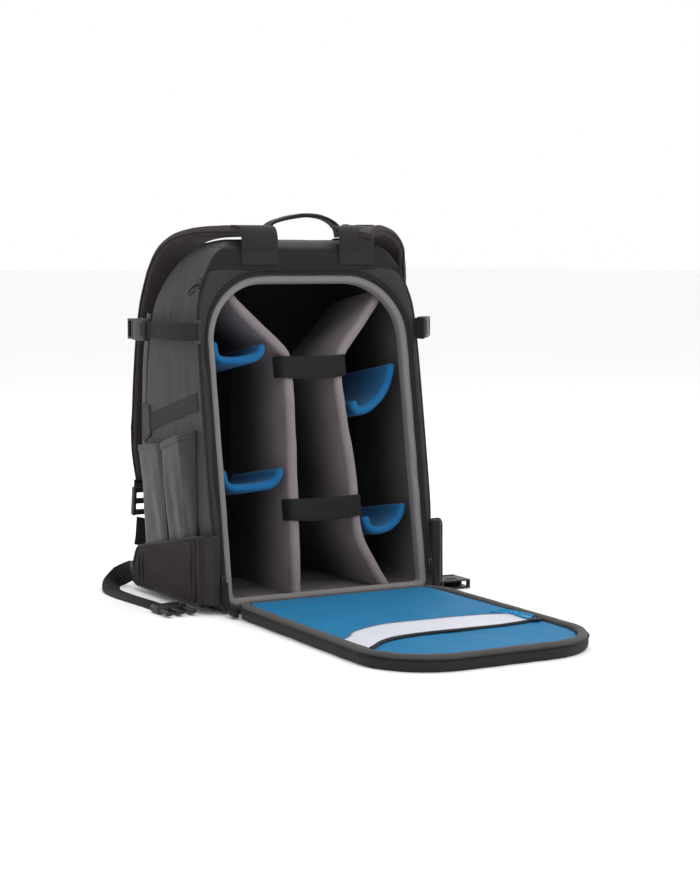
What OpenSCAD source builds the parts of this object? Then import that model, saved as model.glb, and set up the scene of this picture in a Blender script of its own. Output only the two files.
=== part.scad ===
// Camera backpack that opens on its harness side.
// Origin: centre of the base's underside. +Y points away from the opening, +Z up.

/* [Shell] */
// Width of the shell at its widest
bag_w = 282; // [272:2:292]
// Height of the crown above the floor
bag_h = 418; // [410:2:430]
// Depth of the shell at half height, behind the base's front edge
bag_d = 218; // [208:2:228]
// Angle that the harness face leans back from upright
lean = 9.3; // [8:0.1:10]
// Thickness of the outer panels
wall_t = 4; // [3:0.5:5]
// Thickness of the padded lining
lining_t = 5; // [4:0.5:6]
// Thickness of the panel that surrounds the opening
surround_t = 12; // [10:1:14]

/* [Opening] */
// Half the opening's width to the outside of its binding
open_hw = 131; // [127:1:131]
// Height of the opening's top edge along the face
open_top = 382; // [376:1:384]
// Height of the opening's bottom edge along the face
open_bottom = 8; // [7:1:10]
// Radius of the opening's upper corners
open_r = 78; // [70:1:84]
// Width of the grey binding round the opening
rim_w = 10; // [8:1:12]

/* [Flap] */
// Thickness of the flap's padded outer skin
flap_pad_t = 12; // [10:1:12]
// Height of the binding that stands round the flap's lining
flap_rim_t = 6; // [4:1:6]
// Radius of the fold that the flap turns on
hinge_r = 4; // [3:0.5:4]

/* [Inserts] */
// Thickness of the long dividers
divider_t = 13; // [10:1:14]
// Thickness of the blue shelves
shelf_t = 9; // [7:1:10]
// Depth of the blue shelves
shelf_d = 130; // [110:5:140]

/* [Straps] */
// Width of the shoulder straps
strap_w = 58; // [50:2:60]
// Thickness of the shoulder straps
strap_t = 11; // [9:1:12]
// Width of the waist webbing
waist_w = 25; // [20:1:25]
// Thickness of all webbing
web_t = 1.8; // [1.5:0.1:2]
// Thickness of the hip-belt wings
wing_t = 10; // [8:1:11]

/* [Hidden] */

gap = 0.3;
left = -1;
right = 1;
half_w = bag_w / 2;
face_y = -110;
far_y = face_y + bag_d;
inner_t = wall_t + lining_t + gap;
seam_x = half_w - 35;
top_seam_z = bag_h - 73;
base_seam_z = 30;
hinge_s = 13.6;
hinge_v = -hinge_r - gap;
open_angle = 90 + lean;
flap_start = hinge_s + hinge_r + 0.4;
flap_out = -0.4 - flap_rim_t - flap_pad_t;

shell_grey = "#3c3d40";
cloth_black = "#1c1c1e";
taupe = "#7d7676";
blue = "#1f6fa8";

// ---- small helpers ----

function unit(v) = v / norm(v);
function flip(p) = [for (i = [len(p) - 1:-1:0]) [-p[i][0], p[i][1]]];
function both_sides(p) = concat(p, flip(p));
function arc(c, r, a0, a1, n) = [for (i = [0:n])
    let (a = a0 + (a1 - a0) * i / n) c + r * [cos(a), sin(a)]];
function side_of(p, s) = [for (q = p) [s * q[0], q[1], q[2]]];
function face_at(z) = face_y + z * tan(lean);

// Inward normal of the edge from a to b of an anticlockwise outline
function inward(a, b) = unit([a[1] - b[1], b[0] - a[0]]);

// The outline p with every edge moved inward by t
function inset(p, t) = [for (i = [0:len(p) - 1])
    let (n = len(p), a = inward(p[(i + n - 1) % n], p[i]), b = inward(p[i], p[(i + 1) % n]))
    p[i] + t * (a + b) / (1 + a * b)];

// A line of points p given the thickness t
function along(p, i) = unit(p[min(i + 1, len(p) - 1)] - p[max(i - 1, 0)]);
function across2(p, i) = let (d = along(p, i)) [-d[1], d[0]];
function band(p, t) = concat(
    [for (i = [0:len(p) - 1]) p[i] - across2(p, i) * t / 2],
    [for (i = [len(p) - 1:-1:0]) p[i] + across2(p, i) * t / 2]);

// One section of a sweep: shape's first coordinate runs along across
function station(p, i, across, shape) =
    let (t = along(p, i), d = unit(cross(t, across)), a = cross(d, t))
    [for (c = shape) p[i] + c[0] * a + c[1] * d];
function flat_shape(w, t) = [[w, t] / 2, [-w, t] / 2, [-w, -t] / 2, [w, -t] / 2];
function round_shape(d, n) = [for (k = [0:n - 1]) d / 2 * [cos(360 * k / n), sin(360 * k / n)]];

// A solid swept along the points of path; across is one direction, or one per point
module sweep(path, across, shape) {
    n = len(path);
    m = len(shape);
    points = [for (i = [0:n - 1])
        each station(path, i, is_list(across[0]) ? across[i] : across, shape)];
    sides = [for (i = [0:n - 2], k = [0:m - 1])
        let (a = m * i + k, b = m * i + (k + 1) % m) each [[a, a + m, b + m], [a, b + m, b]]];
    first = [[for (k = [0:m - 1]) k]];
    last = [[for (k = [m - 1:-1:0]) m * (n - 1) + k]];
    polyhedron(points, concat(sides, first, last));
}

// Frame of the leaning face: x across, y into the bag, z up the face
module on_face() {
    translate([0, face_y, 0]) rotate([-lean, 0, 0]) children();
}

// The same frame turned down about the flap's fold, so that the flap lies open
module on_flap() {
    on_face() translate([0, hinge_v, hinge_s]) rotate([open_angle, 0, 0])
        translate([0, -hinge_v, -hinge_s]) children();
}

// A prism of an outline in the face's x and z, from depth v0 to depth v1
module face_prism(p, v0, v1) {
    translate([0, v1, 0]) rotate([90, 0, 0]) linear_extrude(v1 - v0) polygon(p);
}

// A prism of a side profile in y and z, from x0 to x1
module side_prism(p, x0, x1) {
    translate([x0, 0, 0]) rotate([90, 0, 90]) linear_extrude(x1 - x0) polygon(p);
}

// ---- shell ----

outline = both_sides([
    [half_w - 10, 0], [half_w - 6, 12], [half_w - 4, 45], [half_w - 2, 82], [half_w, 115],
    [half_w, bag_h - 132], [half_w - 2, bag_h - 83], [half_w - 8, bag_h - 58],
    [half_w - 17, bag_h - 37], [half_w - 28, bag_h - 20], [half_w - 46, bag_h - 6],
    [half_w - 75, bag_h]]);

profile = [
    [face_y + 6, 0], [far_y - 36, 0], [far_y - 18, 10], [far_y - 6, 50], [far_y, 110],
    [far_y, bag_h - 213], [far_y - 5, bag_h - 153], [far_y - 20, bag_h - 83],
    [far_y - 46, bag_h - 33], [far_y - 78, bag_h - 10], [far_y - 108, bag_h - 2],
    [face_at(bag_h - 4) + 14, bag_h - 4], [face_at(bag_h - 14), bag_h - 14], [face_at(6), 6]];

opening = concat(
    arc([open_hw - 14, open_bottom + 14], 14, -90, 0, 4),
    arc([open_hw - open_r, open_top - open_r], open_r, 0, 90, 12),
    arc([open_r - open_hw, open_top - open_r], open_r, 90, 180, 12),
    arc([14 - open_hw, open_bottom + 14], 14, 180, 270, 4));

module block(t) {
    intersection() {
        side_prism(inset(profile, t), -half_w, half_w);
        translate([0, 200, 0]) rotate([90, 0, 0]) linear_extrude(400) polygon(inset(outline, t));
    }
}

// The skin between two depths, behind the surround
module skin(t0, t1) {
    difference() {
        block(t0);
        block(t1);
        on_face() translate([-200, -50, -50]) cube([400, 50 + surround_t + gap, 520]);
    }
}

module zone(x0, x1, y0, z0, z1) {
    translate([x0, y0, z0]) cube([x1 - x0, 400, z1 - z0]);
}

module side_skin(side, t0, t1) {
    intersection() {
        skin(t0, t1);
        if (side == left) zone(-200, -seam_x, -200, -10, 500);
        else zone(seam_x, 200, -200, -10, 500);
    }
}

module middle_skin(t0, t1, y0, z0, z1) {
    intersection() {
        skin(t0, t1);
        zone(-seam_x + gap, seam_x - gap, y0, z0, z1);
    }
}

module side_panel(side) {
    color(shell_grey) side_skin(side, 0, wall_t);
}

module top_panel() {
    color(shell_grey) middle_skin(0, wall_t, -200, top_seam_z + gap, 500);
}

module base_panel() {
    color(cloth_black) middle_skin(0, wall_t, -200, -10, base_seam_z);
}

module front_panel() {
    color(shell_grey) middle_skin(0, wall_t, 0, base_seam_z + gap, top_seam_z);
}

module lining_side(side) {
    color(taupe) side_skin(side, wall_t + gap, wall_t + lining_t);
}

module lining_top() {
    color(taupe) middle_skin(wall_t + gap, wall_t + lining_t, -200, top_seam_z + gap, 500);
}

module lining_base() {
    color(taupe) middle_skin(wall_t + gap, wall_t + lining_t, -200, -10, base_seam_z);
}

module lining_front() {
    color(taupe) middle_skin(wall_t + gap, wall_t + lining_t, 0, base_seam_z + gap, top_seam_z);
}

module face_slab(s0, s1) {
    intersection() {
        block(0);
        on_face() difference() {
            translate([-200, -20, s0]) cube([400, 20 + surround_t, s1 - s0]);
            face_prism(inset(opening, -0.2), -30, 30);
        }
    }
}

yoke_s = 386;

module surround() {
    color(shell_grey) face_slab(-20, yoke_s);
}

module yoke_band() {
    color(cloth_black) face_slab(yoke_s + gap, 500);
}

module face_ring(outer, inner, v0, v1) {
    difference() {
        face_prism(outer, v0, v1);
        face_prism(inner, v0 - 1, v1 + 1);
    }
}

module opening_rim() {
    color(taupe) on_face() face_ring(opening, inset(opening, rim_w), 0, surround_t);
}

tape_w = 4.5;

module main_zip_tape() {
    color(cloth_black) on_face() difference() {
        face_ring(inset(opening, -tape_w), inset(opening, -0.3), -1.5, -0.1);
        translate([-200, -10, -10]) cube([400, 20, 34]);
    }
}

module hinge_fold() {
    color(taupe) on_face() translate([0, hinge_v, hinge_s]) rotate([0, 90, 0])
        cylinder(h = 2 * open_hw - 36, r = hinge_r, center = true, $fn = 32);
}

// ---- inserts ----

insert_front = 15;

// A padded insert: a line in the face's x and z, given thickness and depth
module insert(line, t, v0, v1) {
    intersection() {
        on_face() face_prism(band(line, t), v0, v1);
        block(inner_t);
    }
}

divider_left_line = [[-98, 372], [-82, 350], [-26, 294], [-23, 262], [-26, 150], [-34, 4]];
divider_right_line = [[108, 366], [100, 352], [50, 294], [42, 262], [51, 150], [50, 84], [88, 4]];

module divider_left() {
    color(taupe) insert(divider_left_line, divider_t, insert_front, 230);
}

module divider_right() {
    color(taupe) insert(divider_right_line, divider_t, insert_front, 230);
}

module elastic(x0, x1, s) {
    color(cloth_black) on_face() translate([x0, insert_front - 2.2, s]) cube([x1 - x0, 1.8, 25]);
}

module shelf(line) {
    color(blue) on_face() face_prism(band(line, shelf_t), insert_front, insert_front + shelf_d);
}

shelf_upper_left_line = [[-115.5, 306], [-114, 293], [-106, 286], [-64, 288], [-56, 293], [-54, 304]];
shelf_lower_left_line = [[-115.5, 162], [-114, 148], [-106, 141], [-56, 142], [-45, 147], [-41, 160]];
shelf_upper_right_line = [[60, 234], [63, 223], [76, 223], [95, 236], [108, 255], [115, 276]];
shelf_lower_right_line = [[64, 98], [67, 86], [78, 80], [96, 84], [108, 93], [115, 110]];

// ---- flap ----

flap_outline = concat(
    [[half_w - 25, flap_start], [half_w - 12, flap_start + 20]],
    arc([open_hw - open_r, open_top - open_r], open_r - 1.5, 0, 90, 12),
    arc([open_r - open_hw, open_top - open_r], open_r - 1.5, 90, 180, 12),
    [[12 - half_w, flap_start + 20], [25 - half_w, flap_start]]);
flap_inner = inset(flap_outline, rim_w);
lining_v = -0.4 - flap_rim_t;

// The pocket's zip and the near edge of the white band, both in the flap's x and length
zip_line = [[-130, 318], [-108, 300], [-90, 284], [-65, 272], [-30, 268], [15, 269], [60, 270],
    [100, 264], [130, 258]];
near_line = [[-130, 266], [-108, 248], [-88, 226], [-45, 207], [0, 206], [50, 208], [90, 214],
    [130, 224]];
zip_w = 7;
function shift_line(p, d) = [for (q = p) q + [0, d]];
function reversed(p) = [for (i = [len(p) - 1:-1:0]) p[i]];

module flap_pad() {
    color(cloth_black) on_flap() face_prism(flap_outline, flap_out, lining_v);
}

module flap_rim() {
    color(taupe) on_flap() face_ring(flap_outline, flap_inner, lining_v, -0.4);
}

// A layer on the flap's lining, cut to the outline p; v0 and v1 are heights over the pad
module flap_layer(p, v0, v1) {
    intersection() {
        face_prism(inset(flap_inner, gap), lining_v + v0, lining_v + v1);
        face_prism(p, -40, 10);
    }
}

module flap_lining() {
    color(blue) on_flap() flap_layer([[-200, 0], [200, 0], [200, 400], [-200, 400]], 0, 1.5);
}

module flap_pocket() {
    color(blue) on_flap() flap_layer(concat([[-200, 0], [200, 0]], reversed(near_line)), 1.5, 3);
}

module flap_band() {
    color("white") on_flap()
        flap_layer(concat(shift_line(near_line, gap), reversed(zip_line)), 1.5, 3.2);
}

module flap_zip_tape() {
    color(cloth_black) on_flap()
        flap_layer(band(shift_line(zip_line, zip_w / 2 + 1.5), zip_w), 1.5, 3.4);
}

flap_slider_at = [106, 268];

module flap_zip_slider() {
    color(cloth_black) on_flap()
        translate([flap_slider_at[0] - 6, lining_v + 3.6, flap_slider_at[1] - 3.5]) cube([12, 3, 7]);
}

// Two strands of cord from the slider's eye to a knot, and their ends
pull_cord_d = 2.6;
pull_strands = [
    [[108, 264], [112, 256], [114, 246], [112, 236], [107, 228], [101, 221], [94, 214], [90, 206]],
    [[104, 264], [102, 256], [102, 246], [103, 236], [106, 228], [108, 220], [107, 211], [103, 204]]];

module flap_pull_cord() {
    color("deepskyblue") on_flap() for (strand = pull_strands)
        sweep([for (q = strand) [q[0], lining_v + 5, q[1]]], [0, 1, 0], round_shape(pull_cord_d, 8));
}

// ---- main zip sliders and their pulls ----

slider_x = open_hw + 2.8;
slider_s = 30;

module main_slider(side) {
    color(cloth_black) on_face()
        translate([side * slider_x - 3.2, -6, slider_s]) cube([6.4, 4.2, 14]);
}

pull_path = [[slider_x, -8.5, 36], [slider_x, -8.5, 22], [slider_x, -10.5, 9], [slider_x, -18, 2],
    [slider_x, -30, -0.5]];

module main_pull(side) {
    color(cloth_black) on_face() sweep(side_of(pull_path, side), [1, 0, 0], flat_shape(6, 4));
}

// ---- shoulder harness ----

strap_left_path = [[-60, -44, 424.5], [-65, -24, 425], [-76, 4, 425], [-91, 32, 423], [-103, 62, 414],
    [-108, 92, 392], [-110, 118, 350], [-109, 136, 300], [-108, 146, 250], [-109, 150, 200],
    [-114, 148, 160], [-117, 140, 124]];
strap_left_across = [[1, 0, 0], [1, 0, 0], [1, 0.3, 0], [1, 0.4, 0], [1, 0.4, 0],
    [1, 0.35, 0], [1, 0.3, 0], [1, 0.25, 0], [1, 0.2, 0], [1, 0.2, 0],
    [1, 0.2, 0], [1, 0.2, 0]];
strap_right_path = [[66, -44, 424.5], [76, -36, 426], [94, -26, 426], [118, -14, 419],
    [138, 0, 402], [150, 16, 370], [157, 40, 326], [160, 66, 280], [160, 94, 234], [156, 118, 190],
    [147, 134, 156], [133, 140, 124]];
strap_right_across = [[1, 0, 0], [1, 0.2, 0], [0.8, -0.5, 0], [0.5, -0.9, 0], [0, -1, 0],
    [0, -1, 0], [0.1, -1, 0], [0.2, -1, 0], [0.3, -1, 0], [0.5, -1, 0],
    [0.8, -0.8, 0], [1, -0.2, 0]];

module shoulder_strap(side) {
    color(cloth_black)
        if (side == left) sweep(strap_left_path, strap_left_across, flat_shape(strap_w, strap_t));
        else sweep(strap_right_path, strap_right_across, flat_shape(strap_w, strap_t));
}

lock_z = 84;

module ladder_lock(side) {
    color(cloth_black) translate([side * 128, 132, lock_z]) rotate([8, 0, 0])
        difference() {
            translate([-17, -4, 0]) cube([34, 8, 36]);
            translate([-13, -5, 8]) cube([26, 10, 6]);
            translate([-13, -5, 22]) cube([26, 10, 6]);
        }
}

web_path = [[128, 127, 80], [130, 124, 72], [133, 119, 60], [137, 114, 48]];

module lower_webbing(side) {
    color(cloth_black) sweep(side_of(web_path, side), [1, 0, 0], flat_shape(25, web_t));
}

anchor_corners = [[104, 28], [120, 30], [118, 46], [106, 42]];

module strap_anchors() {
    color(shell_grey) for (side = [left, right])
        translate([side * 138 - 12.5, 0, 0]) side_prism(anchor_corners, 0, 25);
}

// ---- hip belt ----

wing_x = 148;
wing_axis_x = 143;
wing_axis_y = -104;
wing_corners = [[-97, 10], [-30, 6], [92, 6], [104, 12], [100, 30], [87, 54], [12, 70], [-92, 89]];

module wing(side) {
    x0 = side == left ? -wing_x - wing_t : wing_x;
    color(cloth_black) side_prism(wing_corners, x0, x0 + wing_t);
}

module wing_roots() {
    color(cloth_black) for (side = [left, right])
        translate([side * wing_axis_x, wing_axis_y, 12]) cylinder(h = 74, r = 4.6, $fn = 32);
}

// Waist webbing: from the wing's tip down to the floor and forward along it
waist_path = [[153, 103.5, 20], [154, 116, 19], [157, 126, 15], [163, 130, 11], [172, 124, 6],
    [182, 108, 2.5], [188, 84, 1.2], [189, 56, 1.2], [187, 28, 1.2], [184, 0, 1.2],
    [182, -26, 1.2], [181, -50, 1.2]];
waist_across = [[0, 0, 1], [0, 0.1, 1], [0.2, 0.3, 0.9], [0.63, 0.93, 0.86], [0.73, 0.63, 0.1],
    [0.92, 0.37, 0.02], [1, 0.13, 0], [1, 0, 0], [1, 0.1, 0], [1, 0.1, 0], [1, 0.1, 0],
    [1, 0.1, 0]];

module waist_web(side) {
    color(cloth_black) sweep(side_of(waist_path, side), side_of(waist_across, side),
        flat_shape(waist_w, web_t));
}

module at_web_end(side) {
    translate([side * 181, -50, 0.3]) rotate([0, 0, side * -2]) children();
}

module waist_plug() {
    color(cloth_black) at_web_end(left) {
        translate([-18, -22, 0]) cube([36, 21.6, 9]);
        translate([-4, -44, 2]) cube([8, 22, 5]);
        for (x = [-17, 11]) translate([x, -46, 2]) cube([6, 24, 5]);
    }
}

module waist_socket() {
    color(cloth_black) at_web_end(right) difference() {
        translate([-20, -42, 0]) cube([40, 41.6, 11]);
        translate([-18, -43, 2]) cube([36, 26, 7]);
    }
}

// ---- sides ----

pocket_corners = [[-58, 40], [92, 40], [94, 173], [15, 182], [-60, 204]];
pocket_section = [[half_w - 2, 34], [half_w + 3, 34], [half_w + 17, 214], [half_w, 214]];

module side_pocket(side) {
    mirrored = side == left ? [1, 0, 0] : [0, 0, 0];
    color("#58595c") mirror(mirrored) difference() {
        intersection() {
            side_prism(pocket_corners, 100, 200);
            rotate([90, 0, 0]) linear_extrude(300, center = true) polygon(pocket_section);
        }
        block(-gap);
        intersection() {
            side_prism(inset(pocket_corners, 3), 100, 200);
            translate([-2.6, 0, 6]) rotate([90, 0, 0]) linear_extrude(300, center = true)
                polygon(pocket_section);
        }
        translate([half_w, -52, 160]) cube([11, 138, 80]);
    }
}

// Upper compression straps: they leave the front seam, pass through a buckle and return to the
// rear seam; the left one stands off the side as it does round a folded tripod
upper_z = 303;
web_w = 20;
strap_front = [[-half_w - 1.3, -66], [-half_w - 6, -62], [-half_w - 14, -46], [-half_w - 21, -20],
    [-half_w - 24, 10], [-half_w - 25, 27]];
strap_rear = [[-half_w - 19, 64], [-half_w - 19, 84], [-half_w - 16, 94], [-half_w - 9, 101],
    [-half_w - 1.5, 103]];
strap_stub = [[half_w + 1.3, -72], [half_w + 4, -67], [half_w + 8, -61]];
strap_return = [[half_w + 31, -21], [half_w + 27, -12], [half_w + 15, -4], [half_w + 7, 6],
    [half_w + 3, 20], [half_w + 1.6, 44], [half_w + 1.4, 80], [half_w + 1.4, 103]];

module upper_straps() {
    color(cloth_black) for (line = [strap_front, strap_rear, strap_stub, strap_return])
        translate([0, 0, upper_z]) linear_extrude(web_w) polygon(band(line, web_t));
}

module lower_straps() {
    color(cloth_black) for (side = [left, right])
        translate([side * (half_w + 1.3) - 0.9, 0, 0])
            side_prism([[-60, 224], [94, 187], [94, 208], [-60, 246]], 0, 1.8);
}

// Side-release buckles: x runs across the buckle's thickness, +y from the socket to the plug
right_turn = -38;

module at_buckle(side) {
    if (side == left) translate([-half_w - 25, 28, upper_z - 3]) children();
    else translate([half_w + 9, -59, upper_z - 3]) rotate([0, 0, right_turn]) children();
}

module buckle_sockets() {
    color(cloth_black) for (side = [left, right])
        at_buckle(side) difference() {
            translate([-5, 0, 0]) cube([10, 32, 26]);
            translate([-3, 9, 3]) cube([6, 24, 20]);
        }
}

module buckle_plug(side) {
    color(cloth_black) at_buckle(side) {
        translate([-4.6, 32.4, 1]) cube([9.2, 17.6, 24]);
        for (z = [4, 11, 18]) translate([-2, 12, z]) cube([4, 21, 4]);
    }
}

// ---- top ----

handle_w = 20;
handle_path = [[-26, 10, 420], [-24, 10, 430], [-14, 10, 437], [10, 10, 443], [34, 10, 446],
    [52, 10, 443], [67, 10, 436], [74, 10, 428], [75, 10, 420]];

module grab_handle() {
    color(cloth_black) sweep(handle_path, [0, 1, 0], flat_shape(handle_w, 3));
}

// ---- far side ----

far_profile = [[far_y - 40, 60], [far_y + 8, 70], [far_y + 14, 120], [far_y + 14, 200],
    [far_y + 8, 262], [far_y - 6, 318], [far_y - 40, 330]];

module front_pocket() {
    color(shell_grey) difference() {
        side_prism(far_profile, 26 - half_w, half_w - 26);
        block(-gap);
    }
}

module front_slider() {
    color(cloth_black) translate([-70, far_y + 14.3, 186]) cube([14, 5, 8]);
}

module side_slider() {
    color(cloth_black) translate([9.5 - half_w, -54, 368]) rotate([0, 18, 0])
        translate([-4, 0, -7]) cube([4, 8, 14]);
}

side_panel(left);  // side_panel_left
side_panel(right);  // side_panel_right
top_panel();
base_panel();
front_panel();
surround();
yoke_band();
opening_rim();
main_zip_tape();
hinge_fold();
lining_side(left);  // lining_left
lining_side(right);  // lining_right
lining_top();
lining_base();
lining_front();
divider_left();
divider_right();
elastic(-42, 60, 265);  // elastic_upper
elastic(-44, 62, 100);  // elastic_lower
shelf(shelf_upper_left_line);  // shelf_upper_left
shelf(shelf_lower_left_line);  // shelf_lower_left
shelf(shelf_upper_right_line);  // shelf_upper_right
shelf(shelf_lower_right_line);  // shelf_lower_right
flap_pad();
flap_rim();
flap_lining();
flap_pocket();
flap_band();
flap_zip_tape();
flap_zip_slider();
flap_pull_cord();
main_slider(left);  // main_slider_left
main_slider(right);  // main_slider_right
main_pull(left);  // main_pull_left
main_pull(right);  // main_pull_right
shoulder_strap(left);  // shoulder_strap_left
shoulder_strap(right);  // shoulder_strap_right
ladder_lock(left);  // ladder_lock_left
ladder_lock(right);  // ladder_lock_right
lower_webbing(left);  // lower_webbing_left
lower_webbing(right);  // lower_webbing_right
strap_anchors();
wing(left);  // wing_left
wing(right);  // wing_right
wing_roots();
waist_web(left);  // waist_web_left
waist_web(right);  // waist_web_right
waist_plug();
waist_socket();
side_pocket(left);  // side_pocket_left
side_pocket(right);  // side_pocket_right
upper_straps();
lower_straps();
buckle_sockets();
buckle_plug(left);  // buckle_plug_left
buckle_plug(right);  // buckle_plug_right
grab_handle();
front_pocket();
front_slider();
side_slider();
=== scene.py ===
# A camera backpack that opens on its harness side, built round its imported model.
# Lengths are in millimetres until makePiece writes them in metres.
import math

import bmesh
import bpy
import numpy as np
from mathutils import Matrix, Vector


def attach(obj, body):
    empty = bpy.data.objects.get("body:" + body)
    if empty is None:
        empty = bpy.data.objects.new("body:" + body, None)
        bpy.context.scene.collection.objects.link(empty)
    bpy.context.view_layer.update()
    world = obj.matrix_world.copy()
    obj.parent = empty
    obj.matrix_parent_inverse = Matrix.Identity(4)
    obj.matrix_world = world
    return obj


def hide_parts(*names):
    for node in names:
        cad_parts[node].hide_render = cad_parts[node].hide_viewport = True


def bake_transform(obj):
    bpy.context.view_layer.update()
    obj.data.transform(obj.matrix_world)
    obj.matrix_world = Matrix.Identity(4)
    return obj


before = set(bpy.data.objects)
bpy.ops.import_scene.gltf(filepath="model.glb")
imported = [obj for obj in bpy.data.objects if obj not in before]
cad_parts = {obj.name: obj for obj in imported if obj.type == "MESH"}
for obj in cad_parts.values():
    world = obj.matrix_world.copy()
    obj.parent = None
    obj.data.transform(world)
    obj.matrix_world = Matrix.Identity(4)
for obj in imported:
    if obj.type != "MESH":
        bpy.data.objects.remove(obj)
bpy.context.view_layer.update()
mm = 0.001
print("frame loaded")

camera = {"at": (-1.015, -2.001, 0.395), "pitch": 84.7, "turn": -28.8, "lens": 78.7}
cameraData = bpy.data.cameras.new("viewCamera")
cameraData.lens = camera["lens"]
cameraObject = bpy.data.objects.new("viewCamera", cameraData)
cameraObject.location = camera["at"]
cameraObject.rotation_euler = (math.radians(camera["pitch"]), 0, math.radians(camera["turn"]))
bpy.context.scene.collection.objects.link(cameraObject)
bpy.context.scene.camera = cameraObject


# lines, sweeps and pieces

def evenly(points, count, closed=False):  # the same line with evenly spaced points
    points = np.array(points, float)
    if closed:
        points = np.vstack([points, points[:1]])
    steps = np.linalg.norm(np.diff(points, axis=0), axis=1)
    along = np.concatenate([[0], np.cumsum(steps)])
    at = np.linspace(0, along[-1], count + 1 if closed else count)
    line = np.stack([np.interp(at, along, points[:, k]) for k in range(points.shape[1])], 1)
    return line[:-1] if closed else line


def smoothLine(points, count, closed=False):  # a soft curve through given points
    p = np.array(points, float)
    n = len(p)
    before = p[-1:] if closed else 2 * p[:1] - p[1:2]
    after = p[:2] if closed else 2 * p[-1:] - p[-2:-1]
    p = np.vstack([before, p, after])
    curve = []
    for i in range(n if closed else n - 1):
        a, b, c, d = p[i:i + 4]
        for t in np.linspace(0, 1, 12, endpoint=False):
            curve.append(0.5 * (2 * b + (c - a) * t + (2 * a - 5 * b + 4 * c - d) * t * t
                                + (3 * b - a - 3 * c + d) * t ** 3))
    if not closed:
        curve.append(p[-2])
    return evenly(curve, count, closed)


def unitRows(rows):
    return rows / np.maximum(np.linalg.norm(rows, axis=-1, keepdims=True), 1e-9)


def headings(path, closed=False):
    if closed:
        return unitRows(np.roll(path, -1, 0) - np.roll(path, 1, 0))
    return unitRows(np.gradient(path, axis=0))


def spread(value, count):  # one direction for every point, or a given list smoothed to count
    value = np.array(value, float)
    if value.ndim == 1:
        return np.repeat(value[None], count, 0)
    at = np.linspace(0, len(value) - 1, count)
    return np.stack([np.interp(at, range(len(value)), value[:, k]) for k in range(value.shape[1])], 1)


def sweptRows(path, across, section, closed=False):
    # section: one list of (along across, along the normal), or one per point
    ahead = headings(path, closed)
    normal = unitRows(np.cross(ahead, spread(across, len(path))))
    side = np.cross(normal, ahead)
    section = np.array(section, float)
    if section.ndim == 2:
        section = np.repeat(section[None], len(path), 0)
    return path[:, None] + section[..., :1] * side[:, None] + section[..., 1:] * normal[:, None]


def gridPart(rows, ring=True, loop=False, capped=True):
    # rows of points joined into a skin; ring closes each row, loop joins the last row to the first
    n, m = rows.shape[:2]
    faces = []
    for i in range(n if loop else n - 1):
        for k in range(m if ring else m - 1):
            j, l = (i + 1) % n, (k + 1) % m
            faces.append((i * m + k, i * m + l, j * m + l, j * m + k))
    if ring and capped and not loop:
        faces.append(tuple(range(m - 1, -1, -1)))
        faces.append(tuple(range((n - 1) * m, n * m)))
    return rows.reshape(-1, 3), faces


def ripple(points, size, seed):  # soft, seeded waves between about -1 and 1
    rng = np.random.default_rng(seed)
    total = 0
    for _ in range(6):
        way = rng.normal(size=3)
        way *= (0.6 + 0.8 * rng.random()) * 2 * math.pi / size / np.linalg.norm(way)
        total = total + np.sin(points @ way + 6.28 * rng.random())
    return total / 3.2


def roundRect(width, height, radius, steps=4):  # a section with round corners
    corners = [(1, 1, 0), (-1, 1, 90), (-1, -1, 180), (1, -1, 270)]
    points = []
    for sx, sy, turn in corners:
        for k in range(steps + 1):
            a = math.radians(turn + 90 * k / steps)
            points.append((sx * (width / 2 - radius) + radius * math.cos(a),
                           sy * (height / 2 - radius) + radius * math.sin(a)))
    return np.array(points)


def circle(diameter, steps=10):
    turns = np.linspace(0, 2 * math.pi, steps, endpoint=False)
    return np.stack([np.cos(turns), np.sin(turns)], 1) * diameter / 2


def tubePart(path, diameter, steps=8, closed=False, across=(0.31, 0.17, 0.93)):
    rows = sweptRows(np.array(path, float), across, circle(diameter, steps), closed)
    return gridPart(rows, loop=closed)


def slabPart(path, across, width, thick, radius=None, closed=False):  # webbing, bands, boards
    radius = min(thick, width) * 0.48 if radius is None else radius
    rows = sweptRows(np.array(path, float), across, roundRect(width, thick, radius), closed)
    return gridPart(rows, loop=closed)


def blockPart(low, high, radius, place=None):  # a box with rounded edges, moved by place
    low, high = np.array(low, float), np.array(high, float)
    size = high - low
    radius = min(radius, 0.49 * size.min())
    rows = []
    for t in np.linspace(0, 90, 4):
        a = math.radians(t)
        inset = radius * (1 - math.sin(a))
        rows.append((inset, low[2] + radius * (1 - math.cos(a))))
    rows = rows + [(d, low[2] + high[2] - z) for d, z in reversed(rows)]
    middle = (low + high) / 2
    built = []
    for inset, z in rows:
        flat = roundRect(size[0] - 2 * inset, size[1] - 2 * inset, max(radius - inset, 0.05), 3)
        built.append(np.column_stack([flat + middle[:2], np.full(len(flat), z)]))
    points, faces = gridPart(np.array(built))
    return (points if place is None else place(points)), faces


def stitchParts(path, normal, pitch=3.6, size=0.5, lift=0.25):
    # short thread loops laid end to end along a line, each a little proud of the cloth
    path = np.array(path, float)
    length = np.linalg.norm(np.diff(path, axis=0), axis=1).sum()
    count = max(2, int(length / pitch))
    nodes = evenly(path, 3 * count + 1)
    up = unitRows(spread(normal, len(nodes)))
    parts = []
    for k in range(count):
        a, b, c = nodes[3 * k], nodes[3 * k + 1], nodes[3 * k + 2]
        rise = up[3 * k + 1] * lift
        parts.append(tubePart([a - rise, (a + b) / 2 + rise, (b + c) / 2 + rise, c - rise], size, 5,
                              across=np.cross(c - a, rise) + 1e-6))
    return parts


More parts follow.
